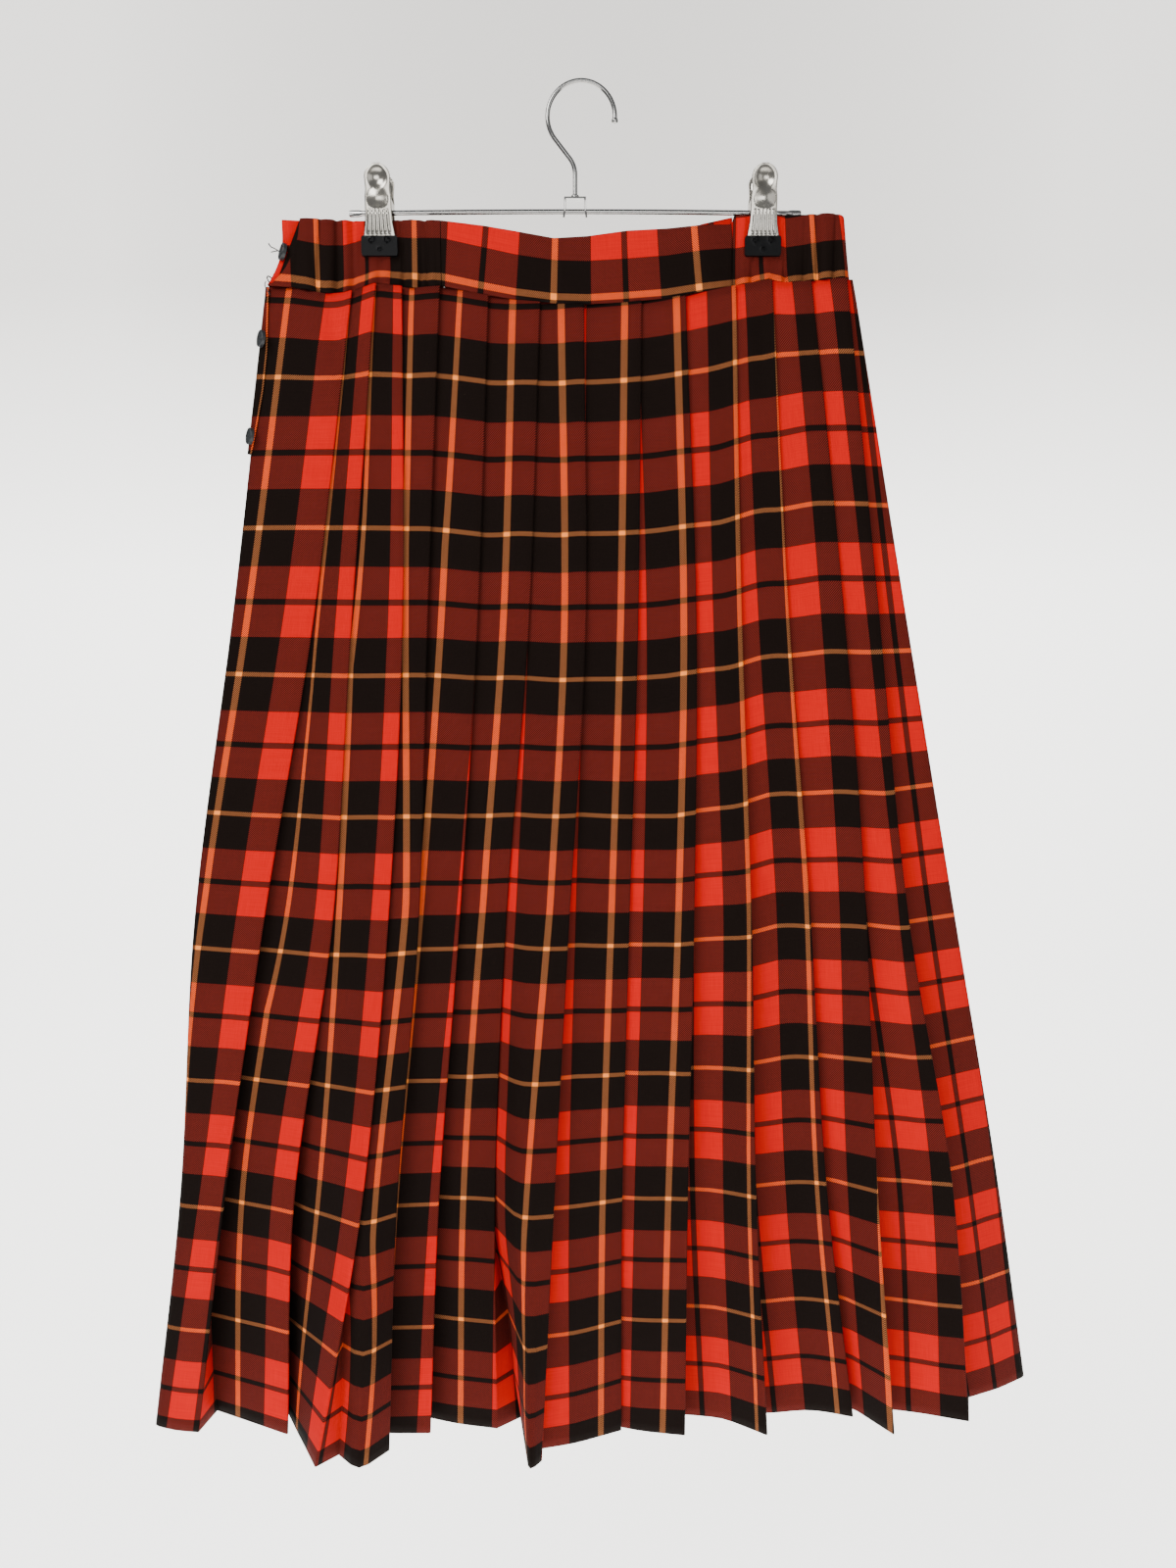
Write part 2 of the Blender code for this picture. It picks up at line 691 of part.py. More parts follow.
def combine(piece, tool, operation):
    """Join or cut with a hidden tool object."""
    tool.hide_render = True
    tool.display_type = "WIRE"
    step = piece.modifiers.new(operation.lower(), "BOOLEAN")
    step.operation = operation
    step.object = tool
    step.solver = "EXACT"


def soften(piece, width, segments=1):
    step = piece.modifiers.new("edges", "BEVEL")
    step.width = width * MM
    step.segments = segments
    step.limit_method = "ANGLE"
    step.angle_limit = math.radians(40)


def hook(collection, tools):
    """One bent wire with a ball on its tip and a straight stem."""
    x0, z0 = HOOK_CENTRE
    radius = HOOK_RADIUS
    points = []
    for i in range(HOOK_STEPS + 1):
        angle = math.radians(HOOK_START + i * HOOK_TURN / HOOK_STEPS)
        points.append((x0 + radius * math.cos(angle), 0.0, z0 + radius * math.sin(angle)))
    points += [(x, 0.0, z) for x, z in HOOK_NECK]
    piece = as_mesh(wire("hook", points, HOOK_WIRE / 2, "chrome", collection), collection)
    ball = bmesh.new()
    bmesh.ops.create_uvsphere(ball, u_segments=12, v_segments=8, radius=HOOK_BALL * MM)
    start = points[0]
    bmesh.ops.translate(ball, verts=ball.verts, vec=Vector(start) * MM)
    data = bpy.data.meshes.new("hook_ball")
    ball.to_mesh(data)
    ball.free()
    combine(piece, link("hook_ball", data, "chrome", tools), "UNION")
    return piece


def bracket(collection, tools):
    """The stamped plate under the stem, with two legs that hold the bar."""
    width, depth, thick = PLATE_SIZE
    z = STEM_BOTTOM - GAP - thick / 2
    piece = box("bracket", (0.0, 0.0, z), (width, depth, thick), "chrome", collection)
    leg_height = z - (BAR_Z - BAR_WIRE / 2 - LEG_LAP)
    for number, side in enumerate((-1, 1)):
        leg = box("leg_%d" % number, (side * (width - LEG_WALL) / 2, 0.0, z - leg_height / 2),
                  (LEG_WALL, LEG_DEPTH, leg_height), "chrome", tools)
        combine(piece, leg, "UNION")
    slot = as_mesh(wire("bar_slot", bar_points(), BAR_WIRE / 2 + GAP, "chrome", tools), tools)
    combine(piece, slot, "DIFFERENCE")
    return piece


def bar_points():
    """The bar rises a little towards its middle."""
    points = []
    for i in range(9):
        share = i / 8
        x = between(BAR_LEFT_X, BAR_RIGHT_X, share)
        points.append((x, 0.0, BAR_Z - BAR_BOW * (2 * share - 1) ** 2))
    return points


def bar(collection, tools):
    """The cross bar, with a flattened stop at each end that keeps the clips on."""
    piece = as_mesh(wire("bar", bar_points(), BAR_WIRE / 2, "chrome", collection), collection)
    for number, x in enumerate((BAR_LEFT_X + STOP_LENGTH / 2 - GAP, BAR_RIGHT_X - STOP_LENGTH / 2 + GAP)):
        stop = box("stop_%d" % number, (x, 0.0, BAR_Z - BAR_BOW), (STOP_LENGTH, STOP_DEPTH, STOP_HEIGHT),
                   "chrome", tools)
        combine(piece, stop, "UNION")
    return piece


def bar_height(x):
    share = (x - BAR_LEFT_X) / (BAR_RIGHT_X - BAR_LEFT_X)
    return BAR_Z - BAR_BOW * (2 * share - 1) ** 2


def jaw_outline():
    """Half outline of a jaw from its round thumb pad down to its foot, as (half width, height)."""
    centre = JAW_TOP_Z - JAW_DISC
    half = [(JAW_DISC * math.sin(math.radians(a)), centre + JAW_DISC * math.cos(math.radians(a)))
            for a in range(0, 130, 20)]
    half += [(JAW_NECK, centre - JAW_NECK_DROP), (JAW_WAIST, centre - JAW_WAIST_DROP),
             (JAW_FOOT, centre - JAW_FOOT_DROP), (JAW_FOOT, JAW_BOTTOM_Z)]
    return half


def jaw(name, clip_x, side, collection, tools):
    """A pressed plate that leans out at the thumb pad, with two ears that turn on the bar."""
    half = jaw_outline()
    outline = half + [(-x, z) for x, z in reversed(half[1:])]
    mesh = bmesh.new()
    ring = []
    for x, z in outline:
        lean = max(z - JAW_BOTTOM_Z, 0.0) * math.tan(JAW_LEAN)
        ring.append(mesh.verts.new(((clip_x + x) * MM, side * (FOOT_Y + lean) * MM, z * MM)))
    mesh.faces.new(ring if side < 0 else list(reversed(ring)))
    bmesh.ops.recalc_face_normals(mesh, faces=mesh.faces)
    data = bpy.data.meshes.new(name)
    mesh.to_mesh(data)
    mesh.free()
    piece = link(name, data, "chrome", collection)
    plate = piece.modifiers.new("plate", "SOLIDIFY")
    plate.thickness = JAW_WALL * MM
    plate.offset = 0.0
    pivot = bar_height(clip_x)
    wall_y = FOOT_Y + (pivot - JAW_BOTTOM_Z) * math.tan(JAW_LEAN)
    ear_x = FRONT_EAR_X if side < 0 else REAR_EAR_X
    for number, sign in enumerate((-1, 1)):
        ear = box("%s_ear_%d" % (name, number), (clip_x + sign * ear_x, side * (wall_y - EAR_LAP) / 2, pivot),
                  (EAR_WALL, wall_y + EAR_LAP, EAR_HEIGHT), "chrome", tools)
        combine(piece, ear, "UNION")
    hole = as_mesh(wire(name + "_hole", bar_points(), BAR_WIRE / 2 + GAP, "chrome", tools), tools)
    combine(piece, hole, "DIFFERENCE")
    return piece


def tip(name, clip_x, side, collection, tools):
    """A soft black cap over the foot of a jaw, which grips the band."""
    tall = TIP_SIZE[2]
    piece = box(name, (clip_x, side * FOOT_Y, TIP_TOP_Z - tall / 2), TIP_SIZE, "vinyl", collection)
    soften(piece, TIP_EDGE)
    lean = (TIP_TOP_Z - JAW_BOTTOM_Z) * math.tan(JAW_LEAN)
    slot = box(name + "_slot", (clip_x, side * (FOOT_Y + lean / 2), JAW_BOTTOM_Z - GAP + tall),
               (2 * (JAW_FOOT + GAP), JAW_WALL + lean + 2 * GAP, 2 * tall), "vinyl", tools)
    combine(piece, slot, "DIFFERENCE")
    return piece


def spring(name, clip_x, collection):
    """A small coil on the bar between the ears, with a leg on each jaw."""
    pivot = bar_height(clip_x)
    radius = (BAR_WIRE + SPRING_WIRE) / 2 + 1.5 * GAP
    points = []
    steps = SPRING_TURNS * COIL_POINTS
    for i in range(steps + 1):
        angle = 2 * math.pi * i / COIL_POINTS + math.pi / 2
        x = clip_x + SPRING_LENGTH * (i / steps - 0.5)
        points.append((x, radius * math.cos(angle), pivot + radius * math.sin(angle)))
    leg_z = pivot + SPRING_LEG_RISE
    reach = FOOT_Y + (leg_z - JAW_BOTTOM_Z) * math.tan(JAW_LEAN) - (JAW_WALL + SPRING_WIRE) / 2 - 1.5 * GAP
    first = (points[0][0], -reach, leg_z)
    last = (points[-1][0], reach, leg_z)
    return wire(name, [first] + points + [last], SPRING_WIRE / 2, "chrome", collection, 1)


def clips(collection, tools):
    for label, x in zip(("left", "right"), CLIP_X):
        for face, side in (("front", -1), ("rear", 1)):
            jaw("clip_%s_%s" % (label, face), x, side, collection, tools)
            tip("clip_%s_%s_tip" % (label, face), x, side, collection, tools)
        spring("clip_%s_spring" % label, x, collection)


def build():
    for old in list(bpy.data.objects):
        bpy.data.objects.remove(old)
    skirt = bpy.data.collections.new("maxi_skirt")
    tools = bpy.data.collections.new("cutters")
    bpy.context.scene.collection.children.link(skirt)
    bpy.context.scene.collection.children.link(tools)
    skirt_panels(skirt)
    waistband(skirt)
    placket(skirt)
    buttons(skirt)
    hook(skirt, tools)
    bracket(skirt, tools)
    bar(skirt, tools)
    clips(skirt, tools)


build()
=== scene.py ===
import math

import bmesh
import bpy
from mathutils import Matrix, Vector


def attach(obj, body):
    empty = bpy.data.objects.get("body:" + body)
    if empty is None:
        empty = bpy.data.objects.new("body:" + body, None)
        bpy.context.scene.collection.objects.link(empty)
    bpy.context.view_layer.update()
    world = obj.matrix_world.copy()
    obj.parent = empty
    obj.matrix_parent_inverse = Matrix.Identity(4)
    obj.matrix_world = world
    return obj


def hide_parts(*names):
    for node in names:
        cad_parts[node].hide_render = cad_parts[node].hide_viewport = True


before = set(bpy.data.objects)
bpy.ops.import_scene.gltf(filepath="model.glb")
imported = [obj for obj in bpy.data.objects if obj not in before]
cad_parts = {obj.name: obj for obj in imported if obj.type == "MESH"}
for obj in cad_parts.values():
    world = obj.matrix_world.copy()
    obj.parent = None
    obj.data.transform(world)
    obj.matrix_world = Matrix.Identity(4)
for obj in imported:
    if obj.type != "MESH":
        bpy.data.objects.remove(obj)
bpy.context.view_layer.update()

# The view. The skirt is seen from straight in front, from above its middle, with the lens tilted down.
# Sizes in this file are millimetres, and MM turns them into metres where a mesh or a light is made.
MM = 0.001
CAMERA_PLACE = (8.5, -824.0, -342.4)
CAMERA_PITCH = 8.15
CAMERA_LENS = 27.09


def placed(name, data):
    """A new object in the scene."""
    made = bpy.data.objects.new(name, data)
    bpy.context.scene.collection.objects.link(made)
    return made


lens = bpy.data.cameras.new("view")
lens.lens = CAMERA_LENS
camera = placed("view", lens)
camera.location = Vector(CAMERA_PLACE) * MM
camera.rotation_euler = (math.radians(90.0 - CAMERA_PITCH), 0.0, 0.0)
bpy.context.scene.camera = camera


# The pleated panels. Front and back are each one width of tartan twill, knife-pleated so that every fold
# points to the right, seen from its own side, pressed flat at the waist and falling open towards the hem.
# They are seamed at the sides. The folds below are those of the solids, drawn finer.
SETT = 96.4
WEFT_SETT = 97.3
FIRST_WEFT = 49.1
LAYER = 1.3
CLOTH = 0.8
SEAM_LAP = 0.4
SEAM_Z = -140.0
SKIRT_LENGTH = 817.0
FRONT_Y = -9.0
SEAM_GAP = 0.3
LEVELS = (0.0, 0.26, 0.52, 0.77, 1.0)
OPENING = (0.0, 0.05, 0.28, 0.68, 1.0)

# Front folds from left to right, one row each, in this order of columns:
# x of the fold at the five levels; place of the fold in repeats of the check, at the waist, the middle and
# the hem; the fold's depth at the waist and at the hem, behind the front plane;
# the depth at the hem of the valley before it; at the hem, how far the face bows forward, and where.
LEFT_EDGE = ((-203, -237, -274, -295, -324), (-0.16, -0.08, 0.15), 4, 11)
FRONT_FOLDS = (
    ((-148, -180, -223, -260, -288), (0.45, 0.46, 0.52), 0, 3, None, 2, 0.5),
    ((-132, -154, -174, -208, -220), (1.42, 1.40, 1.48), 0, 1, 28, 0, 0.5),
    ((-115, -119, -133, -155, -190), (2.33, 2.39, 2.47), 0, -34, 26, 0, 0.5),
    ((-90, -102, -112, -131, -140), (3.22, 3.09, 3.23), 0, -17, -21, 19, 0.5),
    ((-58, -68, -84, -102, -112), (4.22, 4.28, 4.36), 0, 2, 6, 2, 0.5),
    ((-24, -33, -51, -61, -61), (5.18, 5.17, 5.30), 0, 7, 23, 2, 0.5),
    ((5, 6, -6, -17, -26), (6.15, 6.14, 6.27), 0, -28, 20, 32, 0.55),
    ((43, 42, 37, 33, 33), (7.11, 7.13, 7.17), 0, 5, -17, 3, 0.5),
    ((72, 82, 83, 81, 81), (8.06, 8.11, 8.17), 0, -2, 16, 2, 0.5),
    ((105, 113, 124, 131, 143), (9.02, 9.03, 9.13), 0, -4, 22, -7, 0.5),
    ((129, 145, 166, 184, 210), (9.92, 9.97, 10.11), 0, 8, 21, -5, 0.5),
    ((155, 182, 204, 218, 236), (10.87, 10.92, 11.03), 0, -14, 22, -15, 0.45),
    ((178, 206, 234, 274, 295), (11.85, 11.80, 11.95), 0, -3, 14, -2, 0.5),
    ((184, 227, 273, 319, 356), (12.50, 12.70, 12.84), 5, 47, 24, 3, 0.5),
)
# Folds whose faces are drawn together at the waist: {fold: (extra cloth, share of the length where it ends)}
BUNCHED = {1: (1.6, 0.6), 2: (0.83, 0.3), 3: (0.25, 0.2), 4: (0.3, 0.2)}
# Folds that the cloth turns away at: {fold: (share of the check lost or, below nothing, gained; reach)}
TURNED = {9: (0.09, 0.14), 10: (-0.06, 0.12)}
# How far the weft lines hang below a level grid, across the front from its left edge to its right one:
# (share of the length, distances at SLIP_SHARES)
SLIP_SHARES = (-1.0, -0.6, -0.25, 0.0, 0.25, 0.5, 0.8, 1.0)
SLIPS = (
    (0.06, 8.0, 6.0, 5.5, 0.0, -0.7, -2.6, -3.3, -1.0),
    (0.18, 8.0, 6.5, 7.3, 1.3, 0.7, -3.3, -2.0, 0.7),
    (0.30, 8.0, 8.0, 6.0, 2.4, 2.0, -3.4, 0.0, 0.0),
    (0.42, 6.0, 8.5, 4.8, -0.7, 2.8, -5.5, 0.0, -4.8),
    (0.54, 5.0, 9.8, 1.4, -4.2, -2.0, -7.7, -1.4, -5.6),
    (0.66, 6.4, 8.5, 2.1, -4.3, -3.0, -5.7, -2.5, -8.0),
    (0.78, 5.8, 7.0, -1.4, -2.9, -5.0, -5.8, -3.0, -6.5),
    (0.90, 6.0, 3.5, -0.7, -1.5, -6.6, -8.8, -4.5, -7.4),
)
# Folds whose valley slides out into view above the hem: {fold: how far beyond the fold before it}
FALLS_OPEN = {3: 14.0, 6: 17.0}
FALLS_OPEN_FROM = 0.8
# The back: how many folds; its plane behind the middle at the five levels; how deep its valleys are at the
# hem; the cloth in a fold, and in the first pleated one, in repeats of the check
BACK_PLEATS = 13
BACK_PLANE_Y = (9, 19, 36, 54, 68)
BACK_VALLEY = 20
BACK_PHASE = 0.96
BACK_FIRST_PHASE = 0.78
SIDE_TURN_FRONT = (5, 9, 13, 17, 20)
EDGE_LEAD = 12.0

# Lift of the cloth beside the middle of the waist, in this order of columns: place across the front as a
# share of half its width; lift of the band's top edge, the waist seam, the hem.
SAG = (
    (-1.00, 14.0, 13.0, 0.0), (-0.45, 13.0, 11.0, 0.0), (-0.20, 6.5, 5.5, 0.0), (-0.02, 0.0, 0.0, 0.0),
    (0.10, 1.0, 0.0, 0.0), (0.40, 7.5, 4.0, 3.0), (0.57, 16.0, 12.0, 9.0), (0.72, 16.5, 17.5, 12.0),
    (1.00, 15.0, 18.0, 16.0),
)

WAIST = (
    (-203, 13.5, 12.7, 5.5, 0.98), (-185, 12.9, 11.5, 5.5, 0.98), (-165, 12.7, 7.8, 5.5, 0.98),
    (-153, 12.7, 8.2, 6.0, 0.98), (-130, 13.0, 14.5, 7.0, 0.97), (-108, 13.3, 11.5, 8.0, 0.97),
    (-88, 11.5, 12.5, 5.8, 0.96), (-60, 8.2, 7.0, 5.6, 0.95), (-40, 5.0, 4.0, 5.0, 0.93),
    (-14, 0.5, 1.5, 4.4, 0.91), (8, 1.7, 1.0, 4.3, 0.91), (34, 5.1, 2.2, 4.6, 0.91),
    (60, 6.4, 4.7, 4.0, 0.91), (86, 9.0, 9.6, 3.0, 0.90), (103.5, 10.6, 12.3, 2.8, 0.90),
    (104.5, 16.3, 12.5, 2.8, 0.88), (128, 16.3, 17.0, 2.4, 0.86), (139, 16.3, 14.6, 2.6, 0.84),
    (172, 15.7, 17.2, 3.2, 0.84), (182, 13.5, 17.6, 3.4, 0.84),
)
WAVER_REACH = 55.0
# A pleat is tried up to PLEAT_TRIES times, each time up to PLEAT_DEEPER deeper, until its layers lie
# PLEAT_ROOM layers behind the face before it, or PLEAT_NEAR behind where that face bends, to within
# PLEAT_CLOSE. HALVINGS is how often the valley's place is halved in.
PLEAT_TRIES = 8
PLEAT_DEEPER = 6.0
PLEAT_ROOM = 2.05
PLEAT_NEAR = 1.1
PLEAT_CLOSE = 0.02
HALVINGS = 30


def between(a, b, share):
    return a + (b - a) * share


def eased(share):
    share = max(0.0, min(1.0, share))
    return share * share * (3 - 2 * share)


def at_level(values, t):
    """A smooth curve through the values measured at the five levels."""
    last = len(LEVELS) - 1
    i = max(j for j in range(last) if LEVELS[j] <= t)

    def slope(j):
        lo = max(j - 1, 0)
        hi = min(j + 1, last)
        return (values[hi] - values[lo]) / (LEVELS[hi] - LEVELS[lo])

    width = LEVELS[i + 1] - LEVELS[i]
    u = (t - LEVELS[i]) / width
    return ((1 + 2 * u) * (1 - u) ** 2 * values[i] + u * (1 - u) ** 2 * width * slope(i)
            + u * u * (3 - 2 * u) * values[i + 1] - u * u * (1 - u) * width * slope(i + 1))


def along(table, x, column, smooth=False):
    """One column of a table at a place between its rows, straight from row to row or eased."""
    x = max(table[0][0], min(table[-1][0], x))
    for low, high in zip(table, table[1:]):
        if x <= high[0]:
            share = (x - low[0]) / (high[0] - low[0])
            return between(low[column], high[column], eased(share) if smooth else share)


def at_thirds(values, t):
    """A value given at the waist, the middle and the hem."""
    return along(list(zip((0.0, 0.5, 1.0), values)), t, 1)


def sag(share, column):
    """Lift at a place across the cloth, from one column of the table."""
    return along(SAG, share, column, smooth=True)


def half_width(t):
    """Half the skirt's width, with the left edge's lead over the right."""
    return (at_level(FRONT_FOLDS[-1][0], t) - at_level(LEFT_EDGE[0], t)) / 2 + EDGE_LEAD


def height(x, t, turned=False):
    """Height of the skirt cloth at a share t of its length."""
    share = x / half_width(t)
    waver = 0.0
    if not turned:
        reach = SKIRT_LENGTH * t / WAVER_REACH
        waver = (along(WAIST, share * half_width(0.0), 2) - sag(share, 2)) * math.exp(-reach * reach)
    return SEAM_Z - SEAM_GAP / 2 + between(sag(share, 2), sag(share, 3), t) + waver - SKIRT_LENGTH * t


def depth_on(line, x):
    """Depth of a face at x, along its points from valley to fold."""
    for a, b in zip(line, line[1:]):
        if x <= b[0]:
            break
    return between(a[1], b[1], (x - a[0]) / (b[0] - a[0]))


def hang(last, valley_x, depth, new, bow, bow_at):
    """A valley and the face that runs from it to the next fold, and their length of cloth."""
    valley = (valley_x, depth)
    middle = (between(valley_x, new[0], bow_at), between(depth, new[1], bow_at) - bow)
    length = math.dist(last, valley) + math.dist(valley, middle) + math.dist(middle, new)
    return [valley, middle, new], length


def pleat(last_face, new, cloth, depth, bow, bow_at):
    """One knife pleat after the last face. The cloth cannot stretch, so its length sets how far the
    valley reaches back, and the valley is deep enough for its layers to lie behind one another."""
    last = last_face[-1]
    room = PLEAT_ROOM * LAYER
    for attempt in range(PLEAT_TRIES):
        low = last[0] - cloth / 2
        high = between(last[0], new[0], 0.6)
        for step in range(HALVINGS):
            x = (low + high) / 2
            face, length = hang(last, x, depth, new, bow, bow_at)
            if length > cloth:
                low = x
            else:
                high = x
        if x > last[0] - 1.0:
            break
        short = [(last[1] + room - depth_on(face, last[0])) * (new[0] - x) / (new[0] - last[0])]
        if x > last_face[0][0]:
            short.append(depth_on(last_face, x) + room - depth)
        reach = last[0] - x
        for point, clear in zip(last_face[:2], (room, PLEAT_NEAR * LAYER)):
            if x + 1.0 < point[0] < last[0] - 1.0:
                share = (last[0] - point[0]) / reach
                short.append((point[1] + clear - between(last[1], depth, share)) / share)
        middle = face[1]
        if middle[0] < last[0]:
            share = (middle[0] - x) / reach
            behind = between(depth, last[1], share) + LAYER * (0.05 + 2 * share)
            short.append((behind - middle[1]) / (share - bow_at))
        if max(short) < PLEAT_CLOSE:
            break
        depth += min(max(short), PLEAT_DEEPER)
    return face


def fall_open(face, last, reach, valley_depth, bow, bow_at, share):
    """The valley slides out from behind the fold before it."""
    x = between(face[0][0], last[0] + reach, share)
    depth = between(face[0][1], valley_depth, share)
    return hang(last, x, depth, face[-1], bow, bow_at)[0]


def hang_pleats(start, start_place, rows, open_share=0.0):
    """Pleats one after another, as (kind, x, depth, place in the check)."""
    path = []
    face = [(start[0] - 1.0, start[1]), (start[0] - 0.5, start[1]), start]
    place = start_place
    for number, (new, new_place, valley_depth, bow, bow_at) in enumerate(rows):
        if valley_depth is None:
            middle = (between(face[-1][0], new[0], bow_at), between(face[-1][1], new[1], bow_at) - bow)
            line = [face[-1], middle, new]
            back = 0.0
        else:
            line = pleat(face, new, (new_place - place) * SETT, valley_depth, bow, bow_at)
            if open_share and number in FALLS_OPEN:
                line = fall_open(line, face[-1], FALLS_OPEN[number], valley_depth, bow, bow_at, open_share)
            back = math.dist(face[-1], line[0])
        first = math.dist(line[0], line[1])
        whole = back + first + math.dist(line[1], line[2])
        if valley_depth is not None:
            path.append(("valley",) + line[0] + (between(place, new_place, back / whole),))
        path.append(("face",) + line[1] + (between(place, new_place, (back + first) / whole),))
        path.append(("fold",) + new + (new_place,))
        face = line
        place = new_place
    path[-1] = ("edge",) + path[-1][1:]
    return path


def front_path(t):
    """Folds and valleys across the front at one height."""
    opened = at_level(OPENING, t)
    xs, places, waist, hem = LEFT_EDGE
    edge = (at_level(xs, t), between(waist, hem, opened))
    place = at_thirds(places, t)
    turn = at_level(SIDE_TURN_FRONT, t)
    path = [("seam", edge[0] + turn * 0.3, edge[1] + turn, place - turn / SETT),
            ("edge",) + edge + (place,)]
    rows = []
    for xs, places, waist, hem, valley, bow, bow_at in FRONT_FOLDS:
        fold = (at_level(xs, t), between(waist, hem, opened))
        depth = None if valley is None else between(4 * LAYER, valley, opened)
        rows.append((fold, at_thirds(places, t), depth, bow * opened, bow_at))
    open_share = max(t - FALLS_OPEN_FROM, 0.0) / (1.0 - FALLS_OPEN_FROM)
    path += hang_pleats(edge, place, rows, open_share)
    kind, x, depth, place = path[-1]
    path.append(("seam", x - turn * 0.2, depth + turn * 0.6, place + turn / SETT))
    return path


def back_path(t):
    """The same for the back, seen from behind, with its depth measured from its own outer plane."""
    front = front_path(t)
    plane = at_level(BACK_PLANE_Y, t)
    opened = at_level(OPENING, t)
    left, right = [(-x, plane - (FRONT_Y + depth) + SEAM_LAP)
                   for kind, x, depth, place in (front[-1], front[0])]
    edge = (left[0] - 1.0, left[1] * 0.5)
    place = front[-1][3]
    path = [("seam",) + left + (place,)]
    place += math.dist(left, edge) / SETT
    path.append(("edge",) + edge + (place,))
    rows = []
    before = edge
    fold_place = place
    for i in range(1, BACK_PLEATS + 1):
        share = i / BACK_PLEATS
        uneven = 0.0 if i == BACK_PLEATS else 2.5
        x = between(edge[0], right[0] + 1.0, share) + uneven * math.sin(2.3 * i)
        side = max(abs(2 * share - 1) - 0.7, 0.0) / 0.3
        end_depth = (right if share > 0.5 else left)[1] * 0.5
        fold = (x, end_depth * side * side + uneven * opened * math.sin(1.9 * i))
        if i == 1:
            fold_place += math.dist(edge, fold) / SETT
            valley = None
        else:
            fold_place += BACK_FIRST_PHASE if i == 2 else BACK_PHASE
            valley = between(4 * LAYER, min(fold[1], before[1]) + BACK_VALLEY, opened)
        rows.append((fold, fold_place, valley, 2.0 * opened * math.sin(1.3 * i), 0.5))
        before = fold
    path += hang_pleats(edge, place, rows)
    kind, x, depth, place = path[-1]
    path.append(("seam",) + right + (place + (right[1] - depth) / SETT,))
    return path


ROWS = 120
FACE_POINTS = 4
RETURN_POINTS = 4
ARC_POINTS = 4
BEND_REACH = {"face": 9.0, "edge": 4.0}
SWEEPS = 3
# How far the cloth steps back under the band, and over which share of its length
TUCK = 0.9
TUCK_REACH = 0.015
# How fast the creases die away towards the side seams
SIDE_CALM = 9.0


def settled(paths):
    """Evens the hang from row to row, as the cloth's own stiffness does."""
    for sweep in range(SWEEPS):
        calmer = [paths[0]]
        for above, here, below in zip(paths, paths[1:], paths[2:]):
            calmer.append([(h[0],) + tuple((a[k] + 2 * h[k] + b[k]) / 4 for k in (1, 2, 3))
                           for a, h, b in zip(above, here, below)])
        calmer.append(paths[-1])
        paths = calmer
    return paths


def pressed(path):
    """The path with its folds turned round a layer of cloth and its bends softened: (x, depth, place)."""
    flat = [Vector((x, depth)) for kind, x, depth, place in path]
    corners = []
    for i, (kind, x, depth, place) in enumerate(path):
        here = flat[i]
        if kind == "seam":
            corners.append([(here, place)])
            continue
        going = here - flat[i - 1]
        leaving = flat[i + 1] - here
        if kind in BEND_REACH:
            reach = min(BEND_REACH[kind], 0.45 * going.length, 0.45 * leaving.length)
            start = here - going.normalized() * reach
            stop = here + leaving.normalized() * reach
            corners.append([(start, place - reach / SETT), ((start + stop + 2 * here) / 4, place),
                            (stop, place + reach / SETT)])
            continue
        going.normalize()
        leaving.normalize()
        across = (going + leaving + Vector((0.0, 0.3))).normalized() * (LAYER / 2)
        bulge = (going - leaving) / 2 * (LAYER / 2)
        centre = here + Vector((0.0, LAYER / 2 if kind == "fold" else -LAYER / 2))
        arc = []
        for k in range(ARC_POINTS):
            angle = math.pi * k / (ARC_POINTS - 1)
            arc.append((centre - across * math.cos(angle) + bulge * math.sin(angle),
                        place - math.cos(angle) * LAYER / 2 / SETT))
        corners.append(arc)
    line = []
    for i, corner in enumerate(corners):
        line += corner
        if i + 1 < len(corners):
            count = RETURN_POINTS if path[i][0] == "fold" else FACE_POINTS
            last, last_place = corner[-1]
            new, new_place = corners[i + 1][0]
            for k in range(1, count + 1):
                share = k / (count + 1)
                line.append((last.lerp(new, share), between(last_place, new_place, share)))
    return line


# Soft dents and ridges of the hanging cloth, one row each, in this order of columns:
# x, z of the middle; half length; half width; lean of its length from upright in degrees, top to the
# right; how far the cloth stands forward (below nothing: back).
CREASES = (
    (-172, -160, 26, 6, 4, 1.6), (-158, -166, 30, 5, -3, -1.8), (-136, -164, 34, 6, 2, 1.7),
    (-118, -158, 24, 5, -6, -1.5), (-101, -162, 28, 5, 3, 1.3), (112, -150, 26, 5, -5, 1.5),
    (126, -156, 32, 5, 2, -1.9), (141, -152, 30, 6, 4, 1.7), (157, -148, 36, 5, -3, -1.6),
    (171, -150, 30, 5, 5, 1.4), (-240, -300, 60, 14, 12, -2.2), (-216, -420, 120, 16, 10, 2.0),
    (-150, -520, 150, 15, 9, -2.4), (-95, -430, 110, 12, 4, 1.8), (-60, -640, 140, 13, 5, -2.2),
    (20, -520, 130, 14, 1, 1.6), (62, -660, 120, 13, -2, -2.0), (100, -420, 120, 14, -4, 1.8),
    (150, -600, 150, 15, -8, -2.6), (205, -470, 120, 13, -13, 2.2), (232, -690, 130, 14, -14, -2.4),
    (285, -760, 110, 13, -15, 2.2), (-262, -700, 120, 14, 9, -2.2), (-205, -800, 90, 14, 8, 2.0),
)


